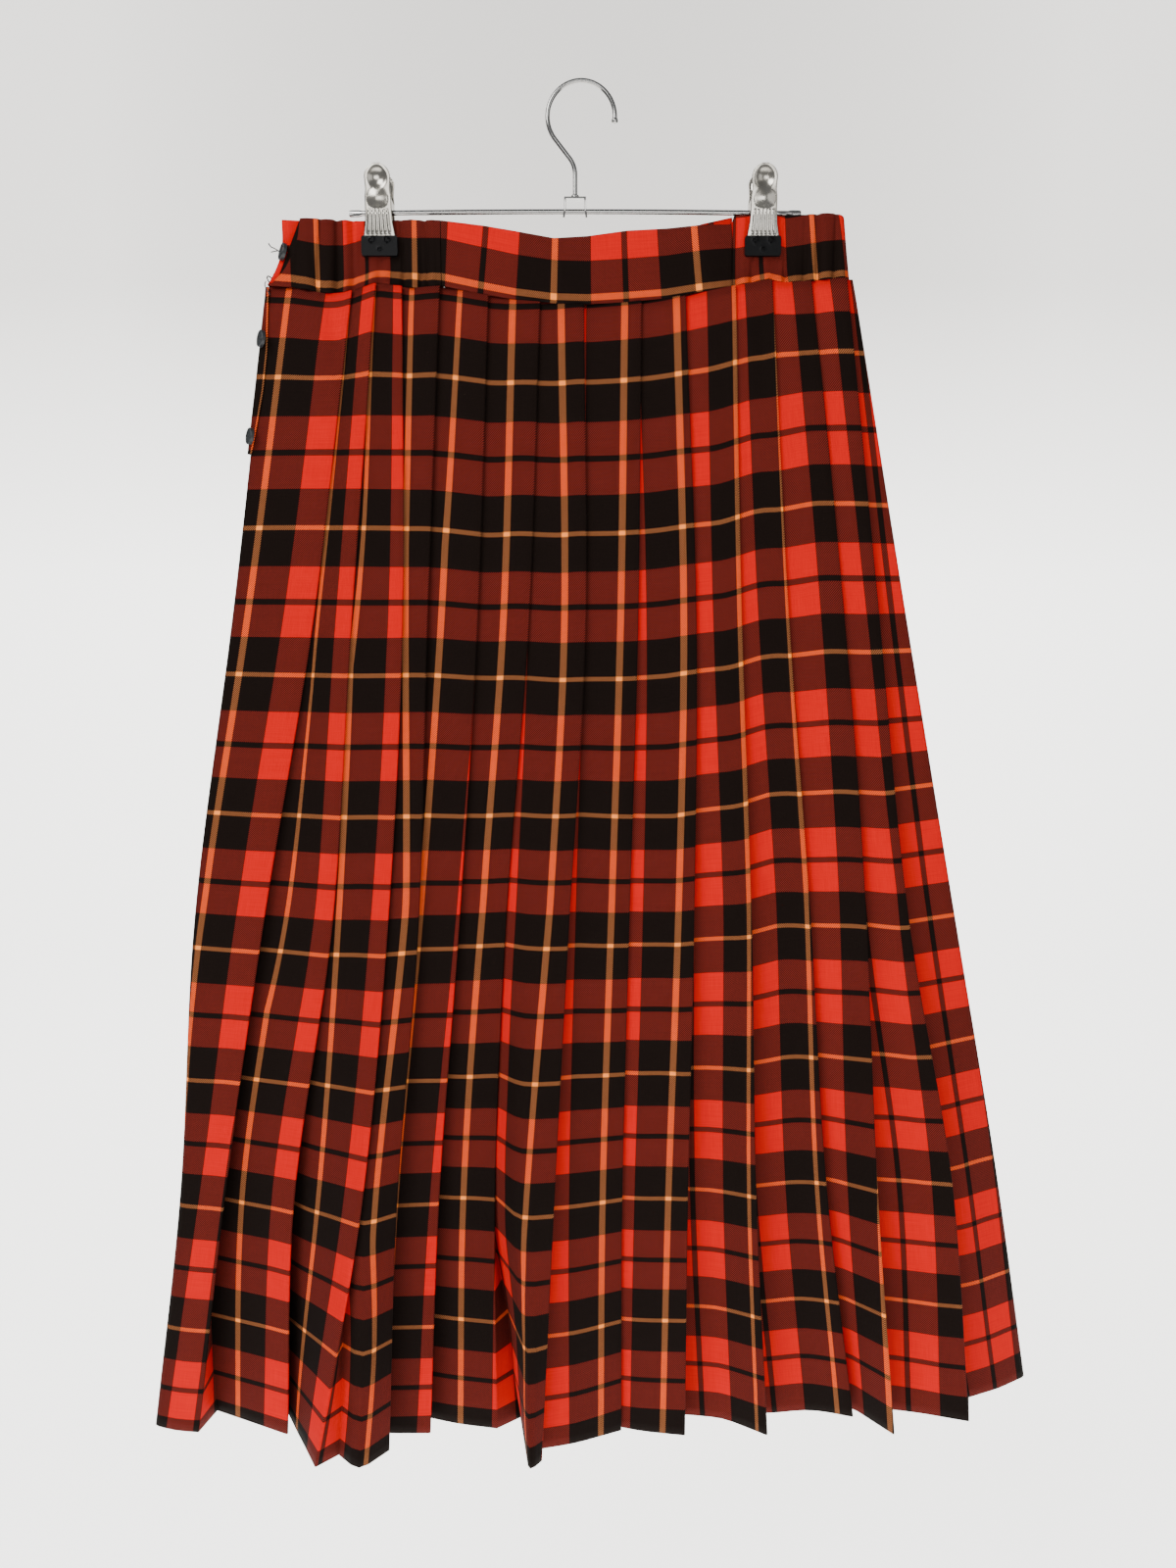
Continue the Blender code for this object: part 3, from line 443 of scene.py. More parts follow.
def creased(x, z):
    """How far the hanging cloth stands forward of its plane."""
    out = 0.0
    for mid_x, mid_z, long, wide, lean, depth in CREASES:
        lean = math.radians(lean)
        dx = x - mid_x
        dz = z - mid_z
        up = (dx * math.sin(lean) + dz * math.cos(lean)) / long
        over = (dx * math.cos(lean) - dz * math.sin(lean)) / wide
        out += depth * math.exp(-up * up - over * over)
    return out


def cloth_mesh(name, points, closed=False):
    """A sheet through rows of (place in mm, u, v), with its own weave coordinates in metres."""
    mesh = bmesh.new()
    weave = mesh.loops.layers.uv.new("weave")
    grid = [[mesh.verts.new(Vector(place) * MM) for place, u, v in row] for row in points]
    count = len(points)
    for r in range(count if closed else count - 1):
        below = (r + 1) % count
        for c in range(len(points[r]) - 1):
            ring = ((r, c), (below, c), (below, c + 1), (r, c + 1))
            face = mesh.faces.new([grid[i][j] for i, j in ring])
            face.smooth = True
            for loop, (i, j) in zip(face.loops, ring):
                loop[weave].uv = (points[i][j][1] * MM, points[i][j][2] * MM)
    data = bpy.data.meshes.new(name)
    mesh.to_mesh(data)
    mesh.free()
    return placed(name, data)


def apply_modifier(piece, kind, **settings):
    """Adds one modifier to a piece and applies it."""
    modifier = piece.modifiers.new(kind.lower(), kind)
    for key, value in settings.items():
        setattr(modifier, key, value)
    bpy.ops.object.select_all(action="DESELECT")
    bpy.context.view_layer.objects.active = piece
    piece.select_set(True)
    bpy.ops.object.modifier_apply(modifier=modifier.name)
    piece.select_set(False)


def slipped(x, t):
    """How far the cloth of the front hangs below a level grid."""
    level = [(share, along(SLIPS, t, k + 1)) for k, share in enumerate(SLIP_SHARES)]
    return along(level, x / half_width(t), 1)


def drawn_together(path, place, t):
    """How much further back in the check a place is where its face is drawn together or turned away."""
    folds = [(x, at) for kind, x, depth, at in path if kind == "fold"]
    shift = 0.0
    for number in sorted(set(TURNED) | set(BUNCHED)):
        x, at = folds[number]
        away = at - place
        gap = at - folds[number - 1][1]
        fades = min(1.0, 4.0 * (gap - away) / gap) if 0.0 < away < gap else 0.0
        turn, reach = TURNED.get(number, (0.0, 1.0))
        shift += max(turn, 0.0) * min(away / reach, fades) if fades else 0.0
        shift += min(turn, 0.0) * max(0.0, 1.0 - abs(away) / reach)
        extra, end = BUNCHED.get(number, (0.0, 1.0))
        if extra and fades and t < end:
            seen = (x - folds[number - 1][0]) / SETT
            shift += extra * (1.0 - t / end) * min(away, seen) ** 2 / seen * fades
    return shift


def panel(name, path_at, turned):
    """A pleated panel, with the thickness of its cloth."""
    shares = [r / ROWS for r in range(ROWS + 1)]
    points = []
    for t, path in zip(shares, settled([path_at(t) for t in shares])):
        plane = at_level(BACK_PLANE_Y, t) if turned else FRONT_Y
        way = -1 if turned else 1
        row = []
        for spot, place in pressed(path):
            x = way * spot.x
            z = height(x, t, turned)
            tucked = (1.0 - eased(t / TUCK_REACH)) * TUCK
            calm = eased(SIDE_CALM * (1.0 - abs(x) / half_width(t)))
            y = plane + way * (spot.y + tucked - calm * creased(x, z))
            down = t * SKIRT_LENGTH
            if not turned:
                place -= drawn_together(path, place, t)
                down -= slipped(x, t)
            row.append(((x, y, z), place * SETT, down))
        points.append(row)
    piece = cloth_mesh(name, points)
    apply_modifier(piece, "SOLIDIFY", thickness=CLOTH * MM, offset=0.0)
    return piece


def feed(node, inputs):
    """Gives a node's sockets their values or links."""
    for key, value in dict(inputs).items():
        if isinstance(value, Socket):
            value.tree.links.new(value.output, node.inputs[key])
        else:
            node.inputs[key].default_value = value


class Socket:
    """One output in a material's node tree. Sums on it add Math nodes to the same tree."""

    def __init__(self, tree, output=None):
        self.tree = tree
        self.output = output

    def node(self, kind, settings=(), inputs=(), output=0):
        """Any node: its settings are set first, then its sockets get values or links."""
        made = self.tree.nodes.new("ShaderNode" + kind)
        for key, value in dict(settings).items():
            setattr(made, key, value)
        feed(made, inputs)
        return Socket(self.tree, made.outputs[output])

    def maths(self, operation, first, second=0.0):
        return self.node("Math", {"operation": operation}, {0: first, 1: second})

    def __add__(self, other):
        return self.maths("ADD", self, other)

    def __sub__(self, other):
        return self.maths("SUBTRACT", self, other)

    def __rsub__(self, other):
        return self.maths("SUBTRACT", other, self)

    def __mul__(self, other):
        return self.maths("MULTIPLY", self, other)

    def __truediv__(self, other):
        return self.maths("DIVIDE", self, other)

    def __pow__(self, other):
        return self.maths("POWER", self, other)

    def __mod__(self, other):
        return self.maths("FLOORED_MODULO", self, other)

    __radd__ = __add__
    __rmul__ = __mul__

    def size(self):
        return self.maths("ABSOLUTE", self)

    def wave(self):
        return self.maths("SINE", self)

    def held(self):
        """Clamped from 0 to 1."""
        return self.node("Clamp", {}, {"Value": self})

    def part(self, axis):
        """The x, y or z of a place."""
        return self.node("SeparateXYZ", {}, {0: self}, axis)

    def blend(self, first, second):
        """A colour between two, with this as the share of the second."""
        return self.node("Mix", {"data_type": "RGBA"}, {0: self, 6: first, 7: second}, 2)

    def noise(self, scale, detail, settings=(), **more):
        """Noise at the place that this is."""
        return self.node("TexNoise", settings, dict(Vector=self, Scale=scale, Detail=detail, **more))

    def relief(self, strength, distance):
        """The bump that this makes as a height."""
        return self.node("Bump", {}, {"Strength": strength, "Distance": distance, "Height": self})


def new_material(name, kind="TexCoord", settings=(), output=3):
    """A material, its Principled shader, and the coordinates that its pattern lies on."""
    made = bpy.data.materials.new(name)
    made.use_nodes = True
    place = Socket(made.node_tree).node(kind, settings, (), output)
    return made, made.node_tree.nodes["Principled BSDF"], place


RED = (0.54, 0.003, 0.003, 1.0)
DIM_RED = (0.165, 0.015, 0.010, 1.0)
BLACK = (0.0055, 0.0028, 0.0019, 1.0)
YELLOW = (1.0, 0.105, 0.012, 1.0)
GOLD = (1.0, 0.27, 0.03, 1.0)
DIM_YELLOW = (0.30, 0.100, 0.034, 1.0)
BLACK_HALF = 0.26
BLACK_LINE_HALF = 0.021
WARP_PITCH = 1.4
WEFT_PITCH = 1.6
# How the yarns' unevenness is stretched, across and down: first the warp's, then the weft's
STREAKS = ((1.9, 0.05), (0.04, 1.7))
FULL_TURN = 6.2832


def stripe(place, centre, half, soft=0.003):
    """How much of a stripe of the check covers a place, with its yarns' soft edge."""
    away = (((place - centre + 0.5) % 1.0) - 0.5).size()
    return ((half - away) / soft + 0.5).held()


def twill_material(name, yellow_half):
    """Two-and-two twill woven in the check: red, black and yellow stripes both ways. Where two colours
    cross, each shows in slanting lines, and a bright yarn between black ones looks dimmer."""
    made, shader, weave = new_material(name, "UVMap", {"uv_map": "weave"}, 0)
    across = weave.part(0) * (1.0 / MM)
    down = weave.part(1) * (1.0 / MM)
    warp = across / SETT
    weft = (down - FIRST_WEFT) / WEFT_SETT
    rise = (across / WARP_PITCH + down / WEFT_PITCH) % 1.0
    over = ((0.25 - (rise - 0.5).size()) / 0.14 + 0.5).held()
    under = 1.0 - over
    blacks = []
    yellows = []
    for place, half in zip((warp, weft), yellow_half):
        blacks.append((stripe(place, 0.0, BLACK_HALF) + stripe(place, 0.5, BLACK_LINE_HALF)).held())
        yellows.append(stripe(place, 0.0, half))
    dark = blacks[0] * over + blacks[1] * under
    red = (blacks[0] - blacks[1]).size().blend(RED, DIM_RED)
    black_warp = blacks[0] * (1.0 - yellows[0])
    black_weft = blacks[1] * (1.0 - yellows[1])
    crossing = (yellows[0] * yellows[1]).blend(YELLOW, GOLD)
    yellow = (black_warp + black_weft).held().blend(crossing, DIM_YELLOW)
    bright = yellows[0] * over + yellows[1] * under
    colour = bright.blend(dark.blend(red, BLACK), yellow)
    uneven = []
    for sideways, downwards in STREAKS:
        streak = weave.node("CombineXYZ", {}, {0: across * sideways, 1: down * downwards, 2: 0.0})
        uneven.append(streak.noise(1.0, 1.0, {"noise_dimensions": "2D"}))
    level = 0.78 + 0.22 * (uneven[0] + uneven[1])
    shade = weave.node("CombineXYZ", {}, {0: level, 1: level, 2: level})
    relief = (rise * FULL_TURN).wave() * 0.5 + uneven[0] * 0.8
    feed(shader, {
        "Base Color": weave.node("Mix", {"data_type": "RGBA", "blend_type": "MULTIPLY"},
                                 {0: 1.0, 6: colour, 7: shade}, 2),
        "Normal": relief.relief(0.35, 0.00022),
        "Roughness": 0.88,
        "Specular IOR Level": 0.06,
    })
    return made


tartan = twill_material("tartan twill", (0.023, 0.0155))
for side, path_at, turned in (("front", front_path, False), ("back", back_path, True)):
    piece = panel("pleated_" + side, path_at, turned)
    piece.data.materials.append(tartan)
    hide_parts("skirt_" + side)
    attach(piece, "root")


# The waistband. A strip of the same twill folded double at the top, smooth across the middle of the front
# and of the back, and gathered on elastic round both sides. It is open at the left side, where its back end
# runs round and on under the front one. The pleats are stitched to its lower edge.
BAND_HEIGHT = 41.9
BAND_HALF = 0.95
BAND_Y = 7.0
BAND_LEVELS = (0.0, 0.25, 0.5, 0.75, 1.0)
BAND_LEFT_X = (-180.0, -181.5, -185.0, -191.0, -201.0)
BAND_TURN_X = (-193.5, -193.5, -194.5, -198.5, -204.0)
BAND_RIGHT_X = (177.0, 178.3, 179.5, 180.8, 182.0)
UNDERLAP = 8.0
UNDERLAP_GAP = 2.2
SPLICE_LEFT_X = -88.0
SPLICE_RIGHT_X = 104.0
SPLICE_GAP = 0.15
CLIP_X = (-128.7, 123.6)
PINCH_Y = 1.3
PINCH_FLAT = 14.0
PINCH_FADE = 30.0
# The clips' press is less low down: from this share of the band's height on, and by this much at the seam
PINCH_DOWN = 0.75
PINCH_LOST = 0.75
# The cloth in a gathered piece to its length, how far from its ends its gathers begin, their spacing, and
# how far they stand out where nothing is said of each
FULLNESS = 1.4
GATHER_END = 4.0
GATHER_PITCH = 9.5
GATHER_OUT = 1.45
MITRE_LIMIT = 1.6

# Place in the check, read along the front of the band: (x, place)
BAND_PLACE = ((-200, -2.45), (-169.7, -2.0), (-105.7, -1.0), (-88, -0.765), (104, 1.229), (158.9, 2.0),
              (183, 2.35))

# Top edge of the band's back: (x, lift)
BACK_TOP = ((-203, 13.0), (-90, 11.0), (-30, 3.0), (0, 0.0), (52, 7.0), (73, 10.0), (85, 13.5),
            (104, 16.0), (203, 15.5))

# Round the band's section, outside first from the seam up, over the fold and down inside:
# (distance out from its middle, share of its height down from the top, height added)
BAND_RING = ([(-0.3, 1.0, 0.0), (0.45, 1.0, 0.0), (0.82, 1.0, 0.3)]
             + [(BAND_HALF, 1.0 - k / 18, 0.8 if k == 0 else 0.0) for k in range(18)]
             + [(BAND_HALF, 0.0, -0.95), (0.82, 0.0, -0.47), (0.47, 0.0, -0.13), (0.0, 0.0, 0.0),
                (-0.47, 0.0, -0.13), (-0.82, 0.0, -0.47), (-BAND_HALF, 0.0, -0.95)]
             + [(-BAND_HALF, k / 9, -0.6) for k in range(1, 9)] + [(-BAND_HALF, 1.0, 0.4)])

# The gathers seen on the front: (x at the seam, x at the top, out at the seam, out at the top, half width)
FRONT_GATHERS = (
    (-184.0, -183.0, -1.0, -0.6, 1.8), (-177.0, -176.0, 1.2, 0.5, 2.6), (-170.5, -166.5, -3.2, -1.6, 1.6),
    (-163.0, -161.0, 1.2, 0.3, 2.6), (-157.5, -156.5, -3.2, -2.4, 1.5), (-151.8, -151.2, 2.0, 1.6, 2.2),
    (-146.8, -146.3, -2.6, -1.2, 1.5), (-134.0, -134.5, 1.4, 0.0, 3.0), (-129.4, -129.0, -1.6, 0.0, 1.6),
    (-124.5, -124.0, 1.0, 0.0, 2.4), (-113.2, -114.8, -3.4, -2.2, 1.7), (-107.3, -108.2, 1.6, 0.9, 2.4),
    (-102.0, -100.6, -2.8, -1.0, 1.5), (-97.6, -99.0, -2.0, -1.8, 1.3), (-93.0, -93.6, 1.0, 0.5, 2.0),
    (106.6, 106.9, -1.8, -1.2, 1.4), (111.0, 111.2, 1.4, 1.0, 2.2), (116.6, 117.2, -2.6, -1.4, 1.5),
    (126.0, 125.0, 1.2, 0.0, 3.0), (138.8, 138.0, -2.6, -1.2, 1.6), (145.2, 144.4, 1.3, 0.6, 2.6),
    (151.0, 151.8, -1.9, -0.6, 1.5), (159.8, 158.6, -3.3, -2.0, 1.6), (165.2, 164.2, 1.3, 0.7, 2.6),
    (170.6, 171.2, -2.4, -1.6, 1.5), (175.6, 175.0, 1.0, 0.5, 2.0),
)


def band_end(values, down):
    """A band's end at a share of its height down from the top."""
    return along(list(zip(BAND_LEVELS, values)), down, 1)


def pinch(x, down):
    """How far the clips press the band towards the middle, from 0 to 1."""
    nearest = min(abs(x - clip) for clip in CLIP_X)
    near = eased(1.0 - max(nearest - PINCH_FLAT, 0.0) / PINCH_FADE)
    return near * (1.0 - PINCH_LOST * max(down - PINCH_DOWN, 0.0) / (1.0 - PINCH_DOWN))


def straight(start, stop, down, side, count):
    """Points along the front (side -1) or back (side 1) of the waist."""
    return [Vector((x, side * between(BAND_Y, PINCH_Y, pinch(x, down))))
            for x in (between(start, stop, i / count) for i in range(count + 1))]


def side_turn(x, way, count):
    """A half round from front to back (way 1, right side) or from back to front (way -1, left side)."""
    line = []
    for i in range(1, count):
        angle = math.pi * (i / count - 0.5)
        line.append(Vector((x + way * (BAND_Y - 1.0) * math.cos(angle), way * BAND_Y * math.sin(angle))))
    return line


def side_normals(points):
    """The outward push at each point of an open line that keeps a wall of even thickness."""
    pushes = []
    for i, point in enumerate(points):
        before = (point - points[i - 1]).normalized() if i else None
        after = (points[i + 1] - point).normalized() if i + 1 < len(points) else None
        before = before or after
        after = after or before
        joint = Vector((before.y + after.y, -before.x - after.x))
        pushes.append(joint * 2.0 / max(joint.length_squared, MITRE_LIMIT))
    return pushes


def gathers(travelled, x, down, seed, front):
    """How far the gathers stand out: those of the front are placed one by one, the rest are like them.
    Where a clip leaves no room behind the cloth, what can't go back stands forward beside the dip."""
    if front:
        out = 0.0
        for low_x, top_x, low_out, top_out, half in FRONT_GATHERS:
            middle = between(top_x, low_x, down)
            away = (x - middle) / half
            stand = between(top_out, low_out, eased(down))
            room = between(BAND_Y, PINCH_Y, pinch(middle, down)) - BAND_HALF
            crowded = max(0.0, -stand - room)
            out += stand * math.exp(-away * away) + crowded * math.exp(-away * away / 3.0)
        return out
    warped = (travelled + 2.1 * math.sin(travelled / 6.3 + seed)
              + 0.9 * math.sin(4.0 * down + travelled / 9.0 + seed))
    rounded_up = 2.0 * abs(math.sin(math.pi * warped / GATHER_PITCH)) ** 0.7 - 1.2
    uneven = 0.62 + 0.38 * math.sin(travelled / 4.1 + 2.0 * seed)
    calm = (1.0 - 0.85 * pinch(x, 0.0)) * (0.55 + 0.45 * eased(down * 3.0))
    return GATHER_OUT * rounded_up * uneven * calm


def band_piece(name, plan, run, gathered, back, seed, shift):
    """One stretch of the band, lofted round its section. plan(down) is its line at a share of its height."""
    middle = plan(0.5)
    travelled = [0.0]
    for a, b in zip(middle, middle[1:]):
        travelled.append(travelled[-1] + (b - a).length)
    whole = travelled[-1]
    points = []
    for out, down, added in BAND_RING:
        line = plan(down)
        row = []
        for i, (spot, push) in enumerate(zip(line, side_normals(line))):
            x = spot.x
            front = not back and spot.y < 0.5 * BAND_Y
            top = SEAM_Z + BAND_HEIGHT + along(WAIST if front else BACK_TOP, x, 1)
            seam = SEAM_Z + (along(WAIST, x, 2) if front else sag(x / half_width(0.0), 2))
            folded = 0.0
            if gathered:
                end = min(travelled[i], whole - travelled[i]) / GATHER_END
                folded = gathers(travelled[i], x, down, seed, front) * min(end, 1.0)
            place = spot + push * (out + folded)
            z = between(top, seam, down) + added
            above = 2 * top - z - seam if out < 0.0 and down < 1.0 else z - seam
            v = (FIRST_WEFT + along(WAIST, x, 3) - above / along(WAIST, x, 4) + shift
                 - 0.45 * folded * (1.0 - down))
            slope = (along(WAIST, x + 25, 2) - along(WAIST, x - 25, 2)) / 50
            at = run[0] + run[1] * travelled[i] / SETT if run else along(BAND_PLACE, x, 1)
            u = at * SETT + (0.0 if gathered else 0.6 * slope * (z - seam))
            row.append(((place.x, place.y, z), -u, v))
        points.append(row)
    piece = cloth_mesh(name, points, closed=True)
    cap_ends(piece, len(points))
    return piece


def cap_ends(piece, ring):
    """Closes the two open ends of a lofted piece."""
    mesh = bmesh.new()
    mesh.from_mesh(piece.data)
    mesh.verts.ensure_lookup_table()
    columns = len(mesh.verts) // ring
    mesh.faces.new([mesh.verts[r * columns] for r in range(ring)])
    mesh.faces.new([mesh.verts[r * columns + columns - 1] for r in reversed(range(ring))])
    bmesh.ops.recalc_face_normals(mesh, faces=mesh.faces)
    mesh.to_mesh(piece.data)
    mesh.free()


def front_band(down):
    return straight(SPLICE_LEFT_X + SPLICE_GAP, SPLICE_RIGHT_X - SPLICE_GAP, down, -1, 96)


def back_band(down):
    return straight(SPLICE_RIGHT_X - SPLICE_GAP, SPLICE_LEFT_X + SPLICE_GAP, down, 1, 96)


def right_band(down):
    turn_x = band_end(BAND_RIGHT_X, down) - BAND_Y
    return (straight(SPLICE_RIGHT_X + SPLICE_GAP, turn_x, down, -1, 110) + side_turn(turn_x, 1, 14)
            + straight(turn_x, SPLICE_RIGHT_X + SPLICE_GAP, down, 1, 60))


def left_front_band(down):
    return straight(band_end(BAND_LEFT_X, down), SPLICE_LEFT_X - SPLICE_GAP, down, -1, 150)


def left_back_band(down):
    turn_x = band_end(BAND_TURN_X, down) + BAND_Y
    under = BAND_Y - 2 * BAND_HALF - UNDERLAP_GAP
    return (straight(SPLICE_LEFT_X - SPLICE_GAP, turn_x, down, 1, 80) + side_turn(turn_x, -1, 12)[:8]
            + [Vector((between(turn_x - 1.0, turn_x + UNDERLAP, k / 6), -under)) for k in range(7)])


# (name, solid it stands for, line, place in the check at its start and repeats in each repeat's length, or
# None where its place is read along the front, gathered, at the back, seed, shift down the check)
BAND_PIECES = (
    ("band_front", "waistband_front", front_band, None, False, False, 0.0, 0.0),
    ("band_back", "waistband_back", back_band, (0.3, 1.0), False, True, 0.0, 0.0),
    ("band_right_side", "waistband_side_right", right_band, (1.235, 1.38), True, False, 1.3, 0.0),
    ("band_left_front", "waistband_side_left_front", left_front_band, None, True, False, 0.4, 0.0),
    ("band_left_back", "waistband_side_left_back", left_back_band, (-1.38, 1.4), True, True, 2.6, 67.6),
)
band_tartan = twill_material("band twill", (0.022, 0.024))
for name, solid, plan, run, gathered, back, seed, shift in BAND_PIECES:
    piece = band_piece(name, plan, run, gathered, back, seed, shift)
    piece.data.materials.append(band_tartan)
    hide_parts(solid)
    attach(piece, "root")
    line = plan(0.5)
    length = sum((b - a).length for a, b in zip(line, line[1:])) * (FULLNESS if gathered else 1.0)


# The side opening under the band. A strip of the twill, folded so that a yellow line of its check runs down
# its front edge, is stitched over the opening's edges from the waist seam down. Two buttons are sewn to it.
PLACKET_END = 0.13
PLACKET_ROWS = 40
PLACKET_OUT = 1.25
PLACKET_WALL = 1.1
PLACKET_LAP = 0.2
PLACKET_TOP = 0.5
# Where the yellow line's middle lies in from the strip's front edge, in repeats of the check
PLACKET_YELLOW = 0.014
# How far the strip's front edge comes round on to the front: (share of the skirt's length, of the face)
PLACKET_EDGE = ((0.0, 0.03), (0.025, 0.10), (0.05, 0.17), (0.08, 0.18), (0.11, 0.12), (0.13, 0.07))
PLACKET_STEPS = 6


def placket_line(t):
    """The strip's line from back to front, along the edges of the two panels."""
    front = [Vector((x, FRONT_Y + depth)) for kind, x, depth, place in front_path(t)[:3]]
    plane = at_level(BACK_PLANE_Y, t)
    back = [Vector((-x, plane - depth)) for kind, x, depth, place in back_path(t)[-3:]]
    seam = (front[0] + back[2]) / 2
    turn = front[1].lerp(front[2], along(PLACKET_EDGE, t, 1))
    return [back[1].lerp(back[0], PLACKET_LAP), back[1], seam, front[1], turn]


def fine_placket(t):
    """The same line with more points and its corners eased, moved out to lie on the panels."""
    corners = placket_line(t)
    line = []
    for a, b in zip(corners, corners[1:]):
        line += [a.lerp(b, k / PLACKET_STEPS) for k in range(PLACKET_STEPS)]
    line.append(corners[-1])
    for sweep in range(SWEEPS):
        line = [line[0]] + [(a + 2 * b + c) / 4 for a, b, c in zip(line, line[1:], line[2:])] + [line[-1]]
    return [p + push * PLACKET_OUT for p, push in zip(line, side_normals(line))]


def bevel(piece, width, segments=2, angle=0.6):
    """Rounds the edges that turn by more than an angle in radians."""
    apply_modifier(piece, "BEVEL", width=width * MM, segments=segments, limit_method="ANGLE",
                   angle_limit=angle)


points = []
for r in range(PLACKET_ROWS + 1):
    t = PLACKET_END * r / PLACKET_ROWS
    line = fine_placket(t)
    row = []
    reach = 0.0
    for i in range(len(line) - 1, -1, -1):
        if i + 1 < len(line):
            reach += (line[i + 1] - line[i]).length
        z = height(line[i].x, t) - (PLACKET_TOP if r == 0 else 0.0)
        row.append(((line[i].x, line[i].y, z), -PLACKET_YELLOW * SETT - reach,
                    t * SKIRT_LENGTH - slipped(line[i].x, t)))
    row.reverse()
    points.append(row)
placket = cloth_mesh("placket_strip", points)
apply_modifier(placket, "SOLIDIFY", thickness=PLACKET_WALL * MM, offset=0.0)
bevel(placket, 0.3, angle=1.0)
placket.data.materials.append(tartan)
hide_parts("placket")
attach(placket, "root")


# The buttons. Each is turned from dark grey horn-like resin: a rounded rim, a dished face and four holes,
# through which two loops of black thread sew it on. One is on the band, two on the opening's strip.
BUTTON_RADIUS = 6.0
BUTTON_THICK = 2.4
BUTTON_SEAT = 1.1
BUTTON_HEIGHTS = (-106.0, -161.0, -223.8)
# (width of the ring, step up) from the button's rim to its dished middle
BUTTON_FACE = ((0.9, 0.15), (0.8, -0.8), (0.9, -0.25))
BUTTON_BACK_RING = 1.2
BUTTON_BACK_TAPER = 0.93
# The button on the band: its place from the band's turn, the way it faces, its lean back, how far out it is
BAND_BUTTON_PLACE = (5.0, -3.6)
BAND_BUTTON_FACING = Vector((-0.86, -0.5))
BAND_BUTTON_LEAN = 0.22
BAND_BUTTON_OUT = 1.3
HOLE_OUT = 1.15
HOLE_RADIUS = 0.55
THREAD = 0.26


def apply_transform():
    bpy.ops.object.transform_apply(location=True, rotation=True, scale=True)


def start_shape(kind, **settings):
    """A new primitive on its own, with its place in its mesh, in edit mode."""
    bpy.ops.object.select_all(action="DESELECT")
    bpy.context.tool_settings.mesh_select_mode = (True, False, False)
    getattr(bpy.ops.mesh, "primitive_%s_add" % kind)(**settings)
    apply_transform()
    bpy.ops.object.mode_set(mode="EDIT")
    bpy.ops.mesh.select_all(action="SELECT")
    return bpy.context.active_object


def choose(piece, test, points=False):
    """Selects the faces, or the points, whose place in mm and normal pass a test."""
    bpy.context.tool_settings.mesh_select_mode = (points, False, not points)
    mesh = bmesh.from_edit_mesh(piece.data)
    mesh.normal_update()
    for item in list(mesh.faces) + list(mesh.edges) + list(mesh.verts):
        item.select = False
    for item in mesh.verts if points else mesh.faces:
        place = (item.co if points else item.calc_center_median()) / MM
        item.select = bool(test(place, item.normal))
    mesh.select_flush_mode()
    bmesh.update_edit_mesh(piece.data)


def move(x, y, z):
    bpy.ops.transform.translate(value=(x * MM, y * MM, z * MM))


def pull(x, y, z):
    """Extrudes what is selected and moves it."""
    bpy.ops.mesh.extrude_region_move(TRANSFORM_OT_translate={"value": (x * MM, y * MM, z * MM)})


def inset(width, *step):
    """Insets the selected faces by a ring and moves them."""
    bpy.ops.mesh.inset(thickness=width * MM)
    if step:
        move(*step)


def scale_about(x, y, z, centre=(0.0, 0.0, 0.0)):
    bpy.ops.transform.resize(value=(x, y, z), center_override=Vector(centre) * MM)


def cut(place, across):
    """New edges all round the shape, where a plane crosses it."""
    bpy.ops.mesh.select_all(action="SELECT")
    bpy.ops.mesh.bisect(plane_co=Vector(place) * MM, plane_no=across)


def close_ends():
    bpy.ops.mesh.select_all(action="SELECT")
    bpy.ops.mesh.fill_holes(sides=0)


def end_shape(piece, name, angle=40.0):
    """Back to object mode, with its normals outwards."""
    bpy.ops.mesh.select_all(action="SELECT")
    bpy.ops.mesh.remove_doubles(threshold=0.00001)
    bpy.ops.mesh.normals_make_consistent(inside=False)
    bpy.ops.object.mode_set(mode="OBJECT")
    bpy.ops.object.shade_smooth_by_angle(angle=math.radians(angle))
    piece.name = name
    piece.data.name = name


def put(piece, place, turned=(0.0, 0.0, 0.0), scale=(1.0, 1.0, 1.0)):
    """Moves a finished shape to its place, in its mesh."""
    bpy.ops.object.select_all(action="DESELECT")
    bpy.context.view_layer.objects.active = piece
    piece.select_set(True)
    piece.location = Vector(place) * MM
    piece.rotation_euler = turned
    piece.scale = scale
    apply_transform()
    if min(scale) < 0.0:
        bpy.ops.object.mode_set(mode="EDIT")
        bpy.ops.mesh.select_all(action="SELECT")
        bpy.ops.mesh.normals_make_consistent(inside=False)
        bpy.ops.object.mode_set(mode="OBJECT")


def copied(piece, name):
    """A copy with its own mesh."""
    made = placed(name, piece.data.copy())
    made.data.name = name
    return made


def joined(first, others):
    bpy.ops.object.select_all(action="DESELECT")
    for piece in others:
        piece.select_set(True)
    first.select_set(True)
    bpy.context.view_layer.objects.active = first
    bpy.ops.object.join()


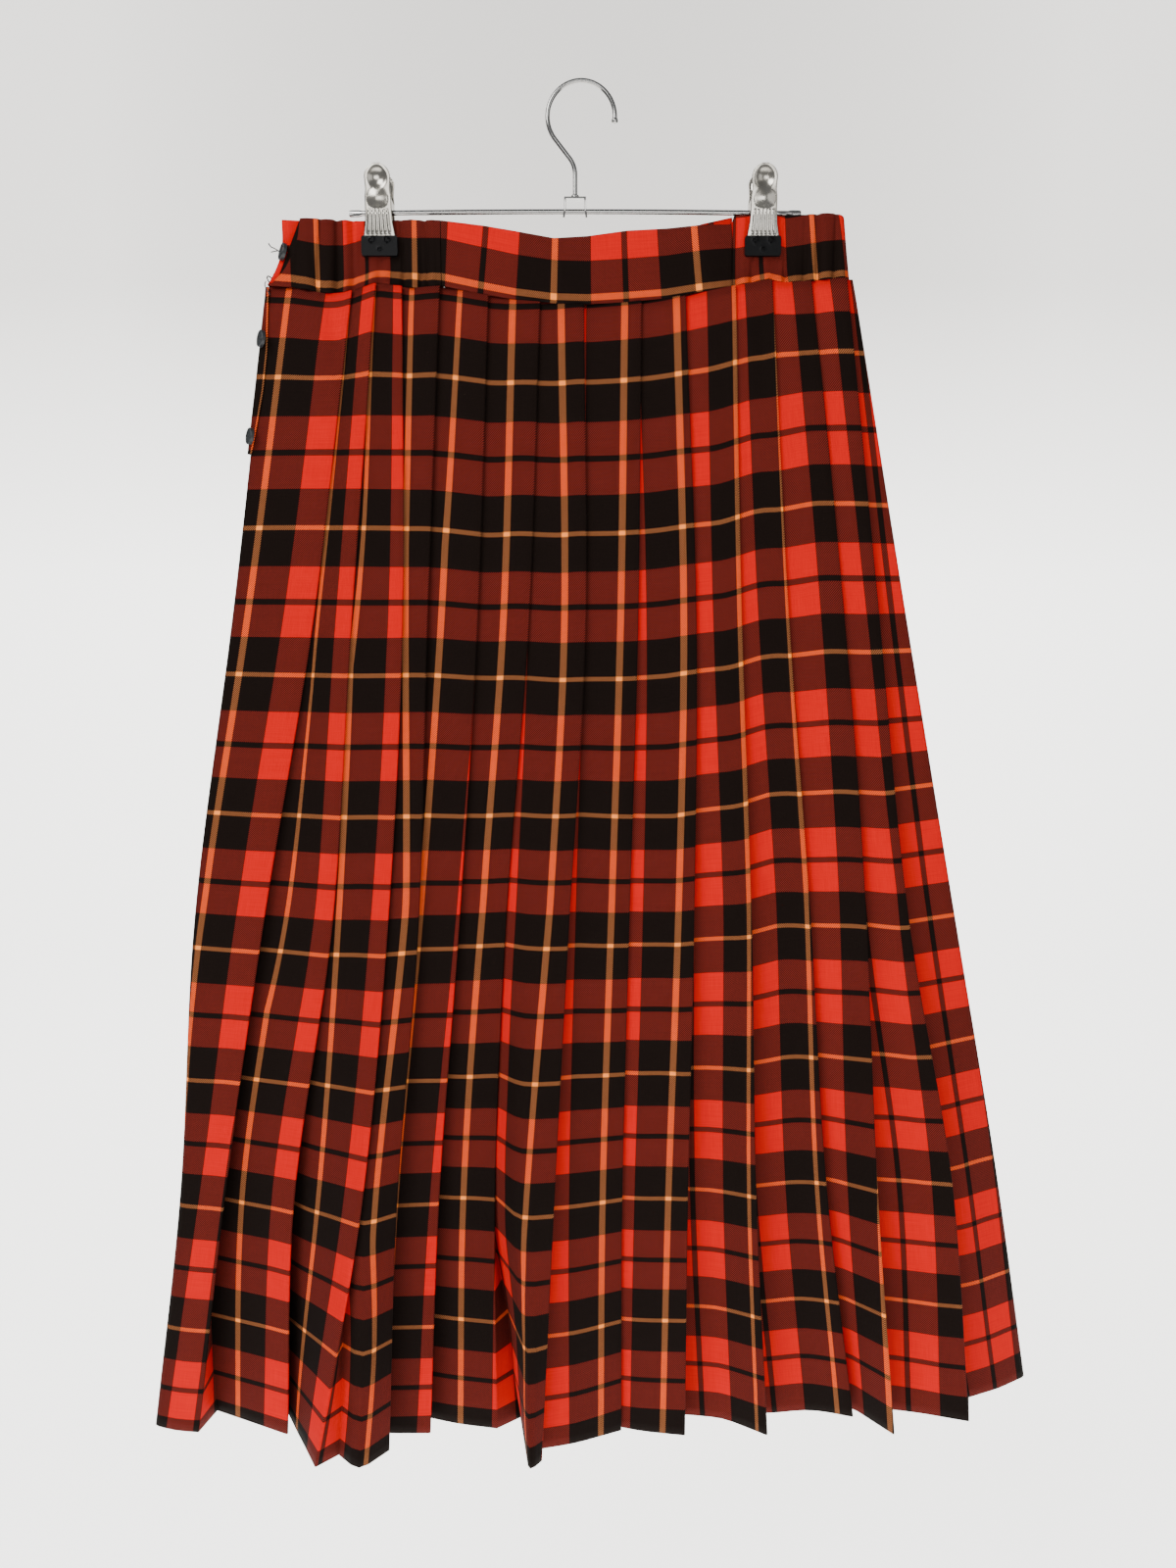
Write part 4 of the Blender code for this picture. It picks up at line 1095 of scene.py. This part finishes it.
button = start_shape("cylinder", vertices=32, radius=BUTTON_RADIUS * MM, depth=BUTTON_THICK * MM,
                     location=(0.0, 0.0, BUTTON_THICK / 2 * MM))
choose(button, lambda p, n: n.z > 0.9)
for ring, step in BUTTON_FACE:
    inset(ring, 0.0, 0.0, step)
choose(button, lambda p, n: n.z < -0.9)
inset(BUTTON_BACK_RING)
choose(button, lambda p, n: p.z < 1.3 and p.length > 3.0)
scale_about(BUTTON_BACK_TAPER, BUTTON_BACK_TAPER, 1.0)
end_shape(button, "button")
bevel(button, 0.25)
for x in (-HOLE_OUT, HOLE_OUT):
    for y in (-HOLE_OUT, HOLE_OUT):
        drill = start_shape("cylinder", vertices=12, radius=HOLE_RADIUS * MM, depth=8 * MM,
                            location=(x * MM, y * MM, 0.0))
        end_shape(drill, "drill")
        apply_modifier(button, "BOOLEAN", operation="DIFFERENCE", object=drill, solver="EXACT")
        bpy.data.objects.remove(drill)
resin, shader, place = new_material("grey resin")
clouds = place.noise(420.0, 4.0, Distortion=0.6)
feed(shader, {
    "Base Color": clouds.blend((0.006, 0.007, 0.008, 1.0), (0.035, 0.038, 0.040, 1.0)),
    "Roughness": 0.24 + clouds * 0.2,
    "Normal": place.noise(2600.0, 2.0).relief(0.12, 0.0001),
    "Specular IOR Level": 0.30,
})
button.data.materials.append(resin)
thread_finish, shader, place = new_material("black thread")
twist = place.node("TexWave", {"bands_direction": "DIAGONAL"},
                   {"Vector": place, "Scale": 900.0, "Distortion": 0.5})
feed(shader, {
    "Base Color": twist.blend((0.010, 0.010, 0.011, 1.0), (0.05, 0.05, 0.052, 1.0)),
    "Roughness": 0.7,
})
loops = []
for y in (-HOLE_OUT, HOLE_OUT):
    loop = start_shape("torus", major_radius=HOLE_OUT * MM, minor_radius=THREAD * MM, major_segments=20,
                       minor_segments=8, location=(0.0, y * MM, 0.55 * MM),
                       rotation=(math.radians(90.0), 0.0, 0.0))
    end_shape(loop, "loop")
    loop.data.materials.append(thread_finish)
    loops.append(loop)
joined(button, loops)

for number, z in enumerate(BUTTON_HEIGHTS, start=1):
    if number == 1:
        spot = Vector((band_end(BAND_TURN_X, 0.5), 0.0)) + Vector(BAND_BUTTON_PLACE)
        facing = BAND_BUTTON_FACING
        rise = BAND_BUTTON_LEAN
        out = BAND_HALF + BAND_BUTTON_OUT
    else:
        t = (SEAM_Z + sag(-1.0, 2) - z) / SKIRT_LENGTH
        spot = placket_line(t)[3]
        facing = side_normals(placket_line(t))[3].normalized()
        rise = (placket_line(t + 0.01)[3] - spot).dot(facing) / (0.01 * SKIRT_LENGTH)
        out = 0.9 + BUTTON_SEAT
    spot = spot + facing * out + Vector((2.6 if number > 1 else 0.0, -0.4))
    piece = copied(button, "shaped_button_%d" % number)
    put(piece, (spot.x, spot.y, z), Vector((facing.x, facing.y, rise)).to_track_quat("Z", "Y").to_euler())
    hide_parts("button_%d" % number)
    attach(piece, "root")
bpy.data.objects.remove(button)


# Loose ends of the black sewing thread at the opening, and a bit of red yarn pulled out below the band.
# Each is a twisted cotton thread caught in the stitches at one end.
# (finish, half thickness, points in mm)
LOOSE_ENDS = (
    (thread_finish, 0.38,
     ((-193.0, -8.2, -107.0), (-197.0, -9.6, -104.5), (-199.4, -9.8, -104.0), (-200.6, -9.4, -101.6))),
    (thread_finish, 0.34,
     ((-193.4, -8.4, -106.0), (-196.6, -9.9, -106.4), (-199.0, -10.1, -107.4))),
    (thread_finish, 0.34,
     ((-201.6, -7.4, -133.0), (-203.6, -9.0, -129.2), (-204.4, -9.3, -127.0), (-203.2, -9.2, -125.0))),
    (tartan, 0.42,
     ((-200.8, -7.6, -126.4), (-203.0, -9.0, -123.4), (-201.4, -9.5, -121.4), (-199.6, -8.6, -123.2))),
)
for number, (finish, half, places) in enumerate(LOOSE_ENDS, start=1):
    curve = bpy.data.curves.new("loose_end", "CURVE")
    curve.dimensions = "3D"
    curve.bevel_depth = half * MM
    curve.bevel_resolution = 2
    curve.resolution_u = 8
    curve.use_fill_caps = True
    spline = curve.splines.new("NURBS")
    spline.points.add(len(places) - 1)
    spline.use_endpoint_u = True
    spline.order_u = 3
    for point, place in zip(spline.points, places):
        point.co = (*(Vector(place) * MM), 1.0)
    laid = placed("loose_end", curve)
    shape = bpy.data.meshes.new_from_object(laid.evaluated_get(bpy.context.evaluated_depsgraph_get()))
    bpy.data.objects.remove(laid)
    end = placed("loose_end_%d" % number, shape)
    shape.materials.append(finish)
    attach(end, "root")


# The hanger. Its hook is one bent steel wire with a ball rolled on its tip, riveted into a stamped bracket
# whose two legs hold the round cross bar. The bar's ends are pressed flat so the clips stay on. All of it
# is chrome plated.
WIRE = 1.5
HOOK_RADIUS = 22.0
HOOK_CENTRE = Vector((4.1, 0.0, -20.5))
HOOK_START = -3.0
HOOK_TURN = 222.0
NECK_RUN = 15.1
NECK_RADIUS = 15.8
STEM_BOTTOM = -70.3
# (how far on, width of the ring) from the wire's tip round its ball
BALL = ((0.3, 1.27), (0.7, 1.12), (0.9, 0.98), (0.8, 0.80), (0.5, 0.50))
BAR_RADIUS = 1.7
BAR_END = 149.0
BAR_Z = -79.2
BAR_BOW = 1.2
BAR_STEPS = 40
PLATE = Vector((14.5, 7.0, 1.2))
PLATE_Z = -71.2
LEG_WALL = 1.2
LEG_FOOT = -83.2
RIVET_RADIUS = 2.6
BAR_FLAT = 7.0

chrome, shader, place = new_material("chrome plate")
smears = place.noise(160.0, 5.0, Roughness=0.6)
specks = place.noise(1900.0, 2.0)
feed(shader, {
    "Base Color": smears.blend((0.40, 0.39, 0.375, 1.0), (0.28, 0.275, 0.265, 1.0)),
    "Roughness": 0.07 + smears * 0.16 + (specks ** 6.0) * 0.4,
    "Normal": (smears + specks * 0.3).relief(0.06, 0.0002),
    "Metallic": 1.0,
})


def towards(angle):
    """The direction at an angle in the hook's own plane, from +X up to +Z."""
    return Vector((math.cos(angle), 0.0, math.sin(angle)))


quarter = math.pi / 2
tangent = math.radians(HOOK_START)
tip_place = HOOK_CENTRE + towards(tangent) * HOOK_RADIUS
hook = start_shape("circle", vertices=20, radius=WIRE * MM, location=tip_place * MM,
                   rotation=(0.0, -tangent, 0.0))
bpy.ops.mesh.spin(steps=64, angle=math.radians(HOOK_TURN), center=HOOK_CENTRE * MM, axis=(0.0, 1.0, 0.0))
heading = tangent + math.radians(HOOK_TURN) + quarter
neck_run = towards(heading) * NECK_RUN
neck_centre = HOOK_CENTRE + towards(heading - quarter) * (HOOK_RADIUS + NECK_RADIUS) + neck_run
pull(*neck_run)
bpy.ops.mesh.spin(steps=14, angle=heading - 3 * quarter, center=neck_centre * MM, axis=(0.0, -1.0, 0.0))
pull(0.0, 0.0, STEM_BOTTOM - neck_centre.z)
choose(hook, lambda p, n: (p - tip_place).length < WIRE + 0.1, points=True)
ring_place = tip_place
for step, width in BALL:
    pull(*(towards(tangent - quarter) * step))
    ring_place = ring_place + towards(tangent - quarter) * step
    scale_about(width, width, width, ring_place)
close_ends()
end_shape(hook, "hook_wire", 50.0)
hook.data.materials.append(chrome)
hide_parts("hook")

bracket = start_shape("cube", size=1.0)
scale_about(*(PLATE * MM))
move(0.0, 0.0, PLATE_Z)
for x in (-PLATE.x / 2 + LEG_WALL, PLATE.x / 2 - LEG_WALL):
    cut((x, 0.0, 0.0), (1.0, 0.0, 0.0))
choose(bracket, lambda p, n: n.z < -0.9 and abs(p.x) > PLATE.x / 2 - LEG_WALL)
pull(0.0, 0.0, BAR_Z - PLATE_Z + PLATE.z / 2 + 1.0)
pull(0.0, 0.0, LEG_FOOT - BAR_Z - 1.0)
for side in (-1, 1):
    choose(bracket, lambda p, n: p.z < LEG_FOOT + 0.2 and p.x * side > 0.0, points=True)
    scale_about(1.0, 0.45, 1.0, (0.0, 0.0, LEG_FOOT))
    move(side * 0.9, 0.0, 0.0)
choose(bracket, lambda p, n: n.z > 0.9)
inset(1.0)
end_shape(bracket, "stamped_bracket")
rivet = start_shape("cylinder", vertices=24, radius=RIVET_RADIUS * MM, depth=1.4 * MM,
                    location=(0.0, 0.0, (PLATE_Z + 1.3) * MM))
choose(rivet, lambda p, n: n.z > 0.9)
inset(0.7, 0.0, 0.0, 0.5)
end_shape(rivet, "rivet")
joined(bracket, [rivet])
bevel(bracket, 0.25)
bracket.data.materials.append(chrome)
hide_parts("bracket")

bar = start_shape("circle", vertices=24, radius=BAR_RADIUS * MM, rotation=(0.0, quarter, 0.0),
                  location=(-BAR_END * MM, 0.0, (BAR_Z - BAR_BOW) * MM))
stops = [-BAR_END + 0.8, -BAR_END + 6.6, -BAR_END + 8.6]
stops += [between(stops[2], -stops[2], k / BAR_STEPS) for k in range(1, BAR_STEPS + 1)]
stops += [BAR_END - 6.6, BAR_END - 0.8, BAR_END]
here = -BAR_END
for x in stops:
    pull(x - here, 0.0, BAR_BOW * ((here / BAR_END) ** 2 - (x / BAR_END) ** 2))
    here = x
for x in stops + [-BAR_END]:
    if abs(x) > BAR_END - BAR_FLAT:
        tall = 1.0 if abs(x) > BAR_END - 0.5 else 1.3
        choose(bar, lambda p, n: abs(p.x - x) < 0.05, points=True)
        scale_about(1.0, 0.6, tall, (x, 0.0, BAR_Z - BAR_BOW * (x / BAR_END) ** 2))
for x in (BAR_END - 5.2, BAR_END - 3.0):
    cut((x, 0.0, 0.0), (1.0, 0.0, 0.0))
close_ends()
end_shape(bar, "cross_bar", 50.0)
bar.data.materials.append(chrome)
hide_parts("bar")
for piece in (hook, bracket, bar):
    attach(piece, "root")


# The two clips. Each jaw is pressed from sheet steel and chrome plated: a round thumb pad with a deep
# dimple, a plain waist, and a fluted foot, with its edges turned back into ears that rock on the bar. The
# feet are dipped in black vinyl to grip the band, and a coil spring on the bar closes them.
JAW_BOTTOM = -103.5
JAW_TALL = 51.7
JAW_LEAN = math.radians(7.0)
FOOT_Y = 4.3
PAD_RADIUS = 8.2
# (how far below the top, half width) of a jaw under its round pad
JAW_SIDES = ((8.2, 8.2), (12.0, 7.9), (15.5, 7.7), (20.0, 8.3), (29.0, 8.4), (36.0, 8.8), (40.5, 9.6),
             (45.0, 10.4), (51.7, 10.4))
JAW_ACROSS = 28
JAW_DOWN = 66
FLUTE = 0.34
FLUTE_WAVE = (1.0, 0.5, 0.0, 0.5)
# (radius round the pad's middle, step back) from the dimple's edge to its middle
DIMPLE = ((6.3, 0.2), (5.8, 0.4), (5.1, 0.45), (4.3, 0.4), (3.4, 0.35), (2.5, 0.25), (1.5, 0.15))
# Sizes of the ovals that are pushed out one after another at the waist, as shares of the first, and how far
WAIST_OVALS = (1.0, 0.85, 0.7, 0.52, 0.33)
WAIST_STEP = 0.3
TIP = Vector((23.8, 3.4, 12.6))
TIP_TOP = -95.6
TIP_CUTS = (16, 9)
# (x, z, radius) of the hollows in a tip, from its middle
TIP_HOLLOWS = ((-4.8, 3.6, 2.3), (4.8, 3.6, 2.3), (0.0, -2.4, 1.9))


def oval(p, middle_y, half_x, half_y):
    """Where a place lies in an oval on the jaw's middle line: below 1 inside, above 1 outside."""
    return (p.x / half_x) ** 2 + ((p.y - middle_y) / half_y) ** 2


jaw = start_shape("grid", x_subdivisions=JAW_ACROSS, y_subdivisions=JAW_DOWN, size=1.0)
scale_about(2 * PAD_RADIUS * MM, JAW_TALL * MM, 1.0)
move(0.0, -JAW_TALL / 2, 0.0)
for k in range(JAW_DOWN + 1):
    y = -JAW_TALL * k / JAW_DOWN
    if -y < PAD_RADIUS:
        half = max(math.sqrt(max(PAD_RADIUS ** 2 - (PAD_RADIUS + y) ** 2, 0.0)), 1.6)
    else:
        half = along(JAW_SIDES, -y, 1)
    choose(jaw, lambda p, n: abs(p.y - y) < 0.2, points=True)
    scale_about(half / PAD_RADIUS, 1.0, 1.0, (0.0, y, 0.0))
for radius, back in DIMPLE:
    choose(jaw, lambda p, n: oval(p, -PAD_RADIUS - 0.4, radius, radius) < 1.0, points=True)
    move(0.0, 0.0, -back)
for size in WAIST_OVALS:
    choose(jaw, lambda p, n: oval(p, -21.2, 6.9, 6.2) < size * size, points=True)
    move(0.0, 0.0, WAIST_STEP)
choose(jaw, lambda p, n: oval(p, -14.6, 7.2, 13.6) < 1.0, points=True)
bpy.ops.mesh.vertices_smooth(factor=0.5, repeat=8)
for k in range(3, JAW_ACROSS - 2):
    share = 2 * k / JAW_ACROSS - 1
    for top, low in ((-27.5, -43.0), (-30.0, -41.0)):
        choose(jaw, lambda p, n: low < p.y < top and abs(p.x - share * along(JAW_SIDES, -p.y, 1)) < 0.2,
               points=True)
        move(0.0, 0.0, FLUTE * FLUTE_WAVE[k % 4])
bpy.ops.mesh.select_all(action="DESELECT")
bpy.context.tool_settings.mesh_select_mode = (False, True, False)
bpy.ops.mesh.select_non_manifold()
pull(0.0, 0.0, -0.5)
scale_about(1.04, 1.0, 1.0)
pull(0.0, 0.0, -1.0)
choose(jaw, lambda p, n: p.z < -1.4 and -29.5 < p.y < -21.0 and abs(p.x) > 7.0, points=True)
pull(0.0, 0.0, -3.6)
scale_about(1.0, 0.8, 1.0, (0.0, -25.0, 0.0))
pull(0.0, 0.0, -3.6)
end_shape(jaw, "jaw", 60.0)
apply_modifier(jaw, "SOLIDIFY", thickness=0.7 * MM, offset=-1.0)
apply_modifier(jaw, "SUBSURF", levels=1, render_levels=1)
bpy.ops.object.shade_smooth_by_angle(angle=math.radians(60.0))
pressed_plate, shader, place = new_material("bright pressed plate with painted reflection")
# Painted reflection: the plate's colour is darkened and browned in soft random patches, standing in for a
# dim brown room mirrored in the chrome. The same noise also varies its gloss.
haze_and_painted_reflection = place.noise(90.0, 4.0)
feed(shader, {
    "Base Color": haze_and_painted_reflection.blend((0.50, 0.475, 0.43, 1.0), (0.24, 0.22, 0.18, 1.0)),
    "Roughness": 0.16 + haze_and_painted_reflection * 0.12,
    "Normal": place.noise(1400.0, 2.0).relief(0.05, 0.0002),
    "Metallic": 1.0,
})
jaw.data.materials.append(pressed_plate)

tip = start_shape("cube", size=1.0)
scale_about(*(TIP * MM))
for k in range(1, TIP_CUTS[0]):
    cut(((k / TIP_CUTS[0] - 0.5) * TIP.x, 0.0, 0.0), (1.0, 0.0, 0.0))
for k in range(1, TIP_CUTS[1]):
    cut((0.0, 0.0, (k / TIP_CUTS[1] - 0.5) * TIP.z), (0.0, 0.0, 1.0))
for x, z, radius in TIP_HOLLOWS:
    choose(tip, lambda p, n: n.y < -0.9 and math.hypot(p.x - x, p.z - z) < radius)
    inset(0.45, 0.0, -0.3, 0.0)
    inset(0.4, 0.0, 0.8, 0.0)
choose(tip, lambda p, n: abs(p.z) > TIP.z / 2 - 0.05 and abs(p.x) > TIP.x / 2 - 0.05, points=True)
scale_about(0.965, 1.0, 0.95)
end_shape(tip, "tip", 50.0)
bevel(tip, 0.7, 3, 1.2)
bpy.ops.object.shade_smooth_by_angle(angle=math.radians(50.0))
vinyl, shader, place = new_material("black dipped vinyl")
ripple = place.noise(380.0, 3.0)
feed(shader, {
    "Base Color": ripple.blend((0.001, 0.001, 0.0012, 1.0), (0.003, 0.003, 0.0033, 1.0)),
    "Roughness": 0.30 + ripple * 0.25,
    "Normal": ripple.relief(0.25, 0.0002),
    "Specular IOR Level": 0.10,
})
tip.data.materials.append(vinyl)

for label, clip_x in zip(("left", "right"), CLIP_X):
    for face, side in (("front", -1), ("rear", 1)):
        piece = copied(jaw, "pressed_jaw_%s_%s" % (label, face))
        reach = FOOT_Y + JAW_TALL * math.sin(JAW_LEAN)
        put(piece, (clip_x, -reach, JAW_BOTTOM + JAW_TALL * math.cos(JAW_LEAN)),
            (math.radians(90.0) + JAW_LEAN, 0.0, 0.0))
        cap = copied(tip, "vinyl_tip_%s_%s" % (label, face))
        put(cap, (clip_x, -FOOT_Y, TIP_TOP - TIP.z / 2))
        for thing in (piece, cap):
            if side > 0:
                put(thing, (0.0, 0.0, 0.0), scale=(1.0, -1.0, 1.0))
            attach(thing, "root")
        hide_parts("clip_%s_%s" % (label, face))
        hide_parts("clip_%s_%s_tip" % (label, face))
    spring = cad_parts["clip_%s_spring" % label]
    for slot in spring.material_slots:
        slot.material = chrome
bpy.data.objects.remove(jaw)
bpy.data.objects.remove(tip)


# The stage. A pale sweep of paper hangs behind and runs on below, and soft lights stand in front and above.
# The paper glows, painted light that keeps it evenly bright. Its colour and glow are made darker towards the
# top and in the middle above: painted shade, and a painted shadow of the hanger.
SWEEP = ((-1500, -1330), (900, -1330), (1500, -1300), (1900, -1150), (2100, -850), (2150, -400),
         (2150, 1350))
SWEEP_WIDTH = 1700.0
backdrop = cloth_mesh("sweep", [[((x, y, z), 0.0, 0.0) for y, z in SWEEP]
                                for x in (-SWEEP_WIDTH, SWEEP_WIDTH)])
paper, shader, place = new_material("pale paper with painted shade")
# Painted shade: the colour, which also sets the glow, darkens towards the top and most in the middle above,
# where the hanger's painted shadow falls.
painted_shade_upper = ((place.part(2) + 0.25) / 0.7).held()
middle = (1.0 - (place.part(0) / 1.15) ** 2.0).held()
far = middle.blend((0.56, 0.545, 0.52, 1.0), (0.40, 0.388, 0.37, 1.0))
shade = painted_shade_upper.blend((0.91, 0.90, 0.875, 1.0), far)
feed(shader, {"Base Color": shade, "Emission Color": shade, "Emission Strength": 3.0, "Roughness": 0.95})
backdrop.data.materials.append(paper)

# (name, place, aimed at, width, height, power)
LIGHTS = (
    ("key", (-1100, -1400, 1000), (0, 0, -450), 1200, 1000, 42),
    ("front", (-120, -1900, 40), (0, 0, -300), 1100, 700, 12),
    ("fill", (1300, -1400, 100), (0, 0, -500), 1000, 1200, 5),
)
for name, place, aim, width, tall, power in LIGHTS:
    lamp = bpy.data.lights.new(name, "AREA")
    lamp.shape = "RECTANGLE"
    lamp.size = width * MM
    lamp.size_y = tall * MM
    lamp.energy = power
    light = placed(name, lamp)
    light.location = Vector(place) * MM
    light.rotation_euler = (Vector(aim) - Vector(place)).to_track_quat("-Z", "Y").to_euler()
world = bpy.data.worlds.new("room")
world.use_nodes = True
feed(world.node_tree.nodes["Background"], {"Color": (0.80, 0.82, 0.86, 1.0), "Strength": 0.36})
bpy.context.scene.world = world
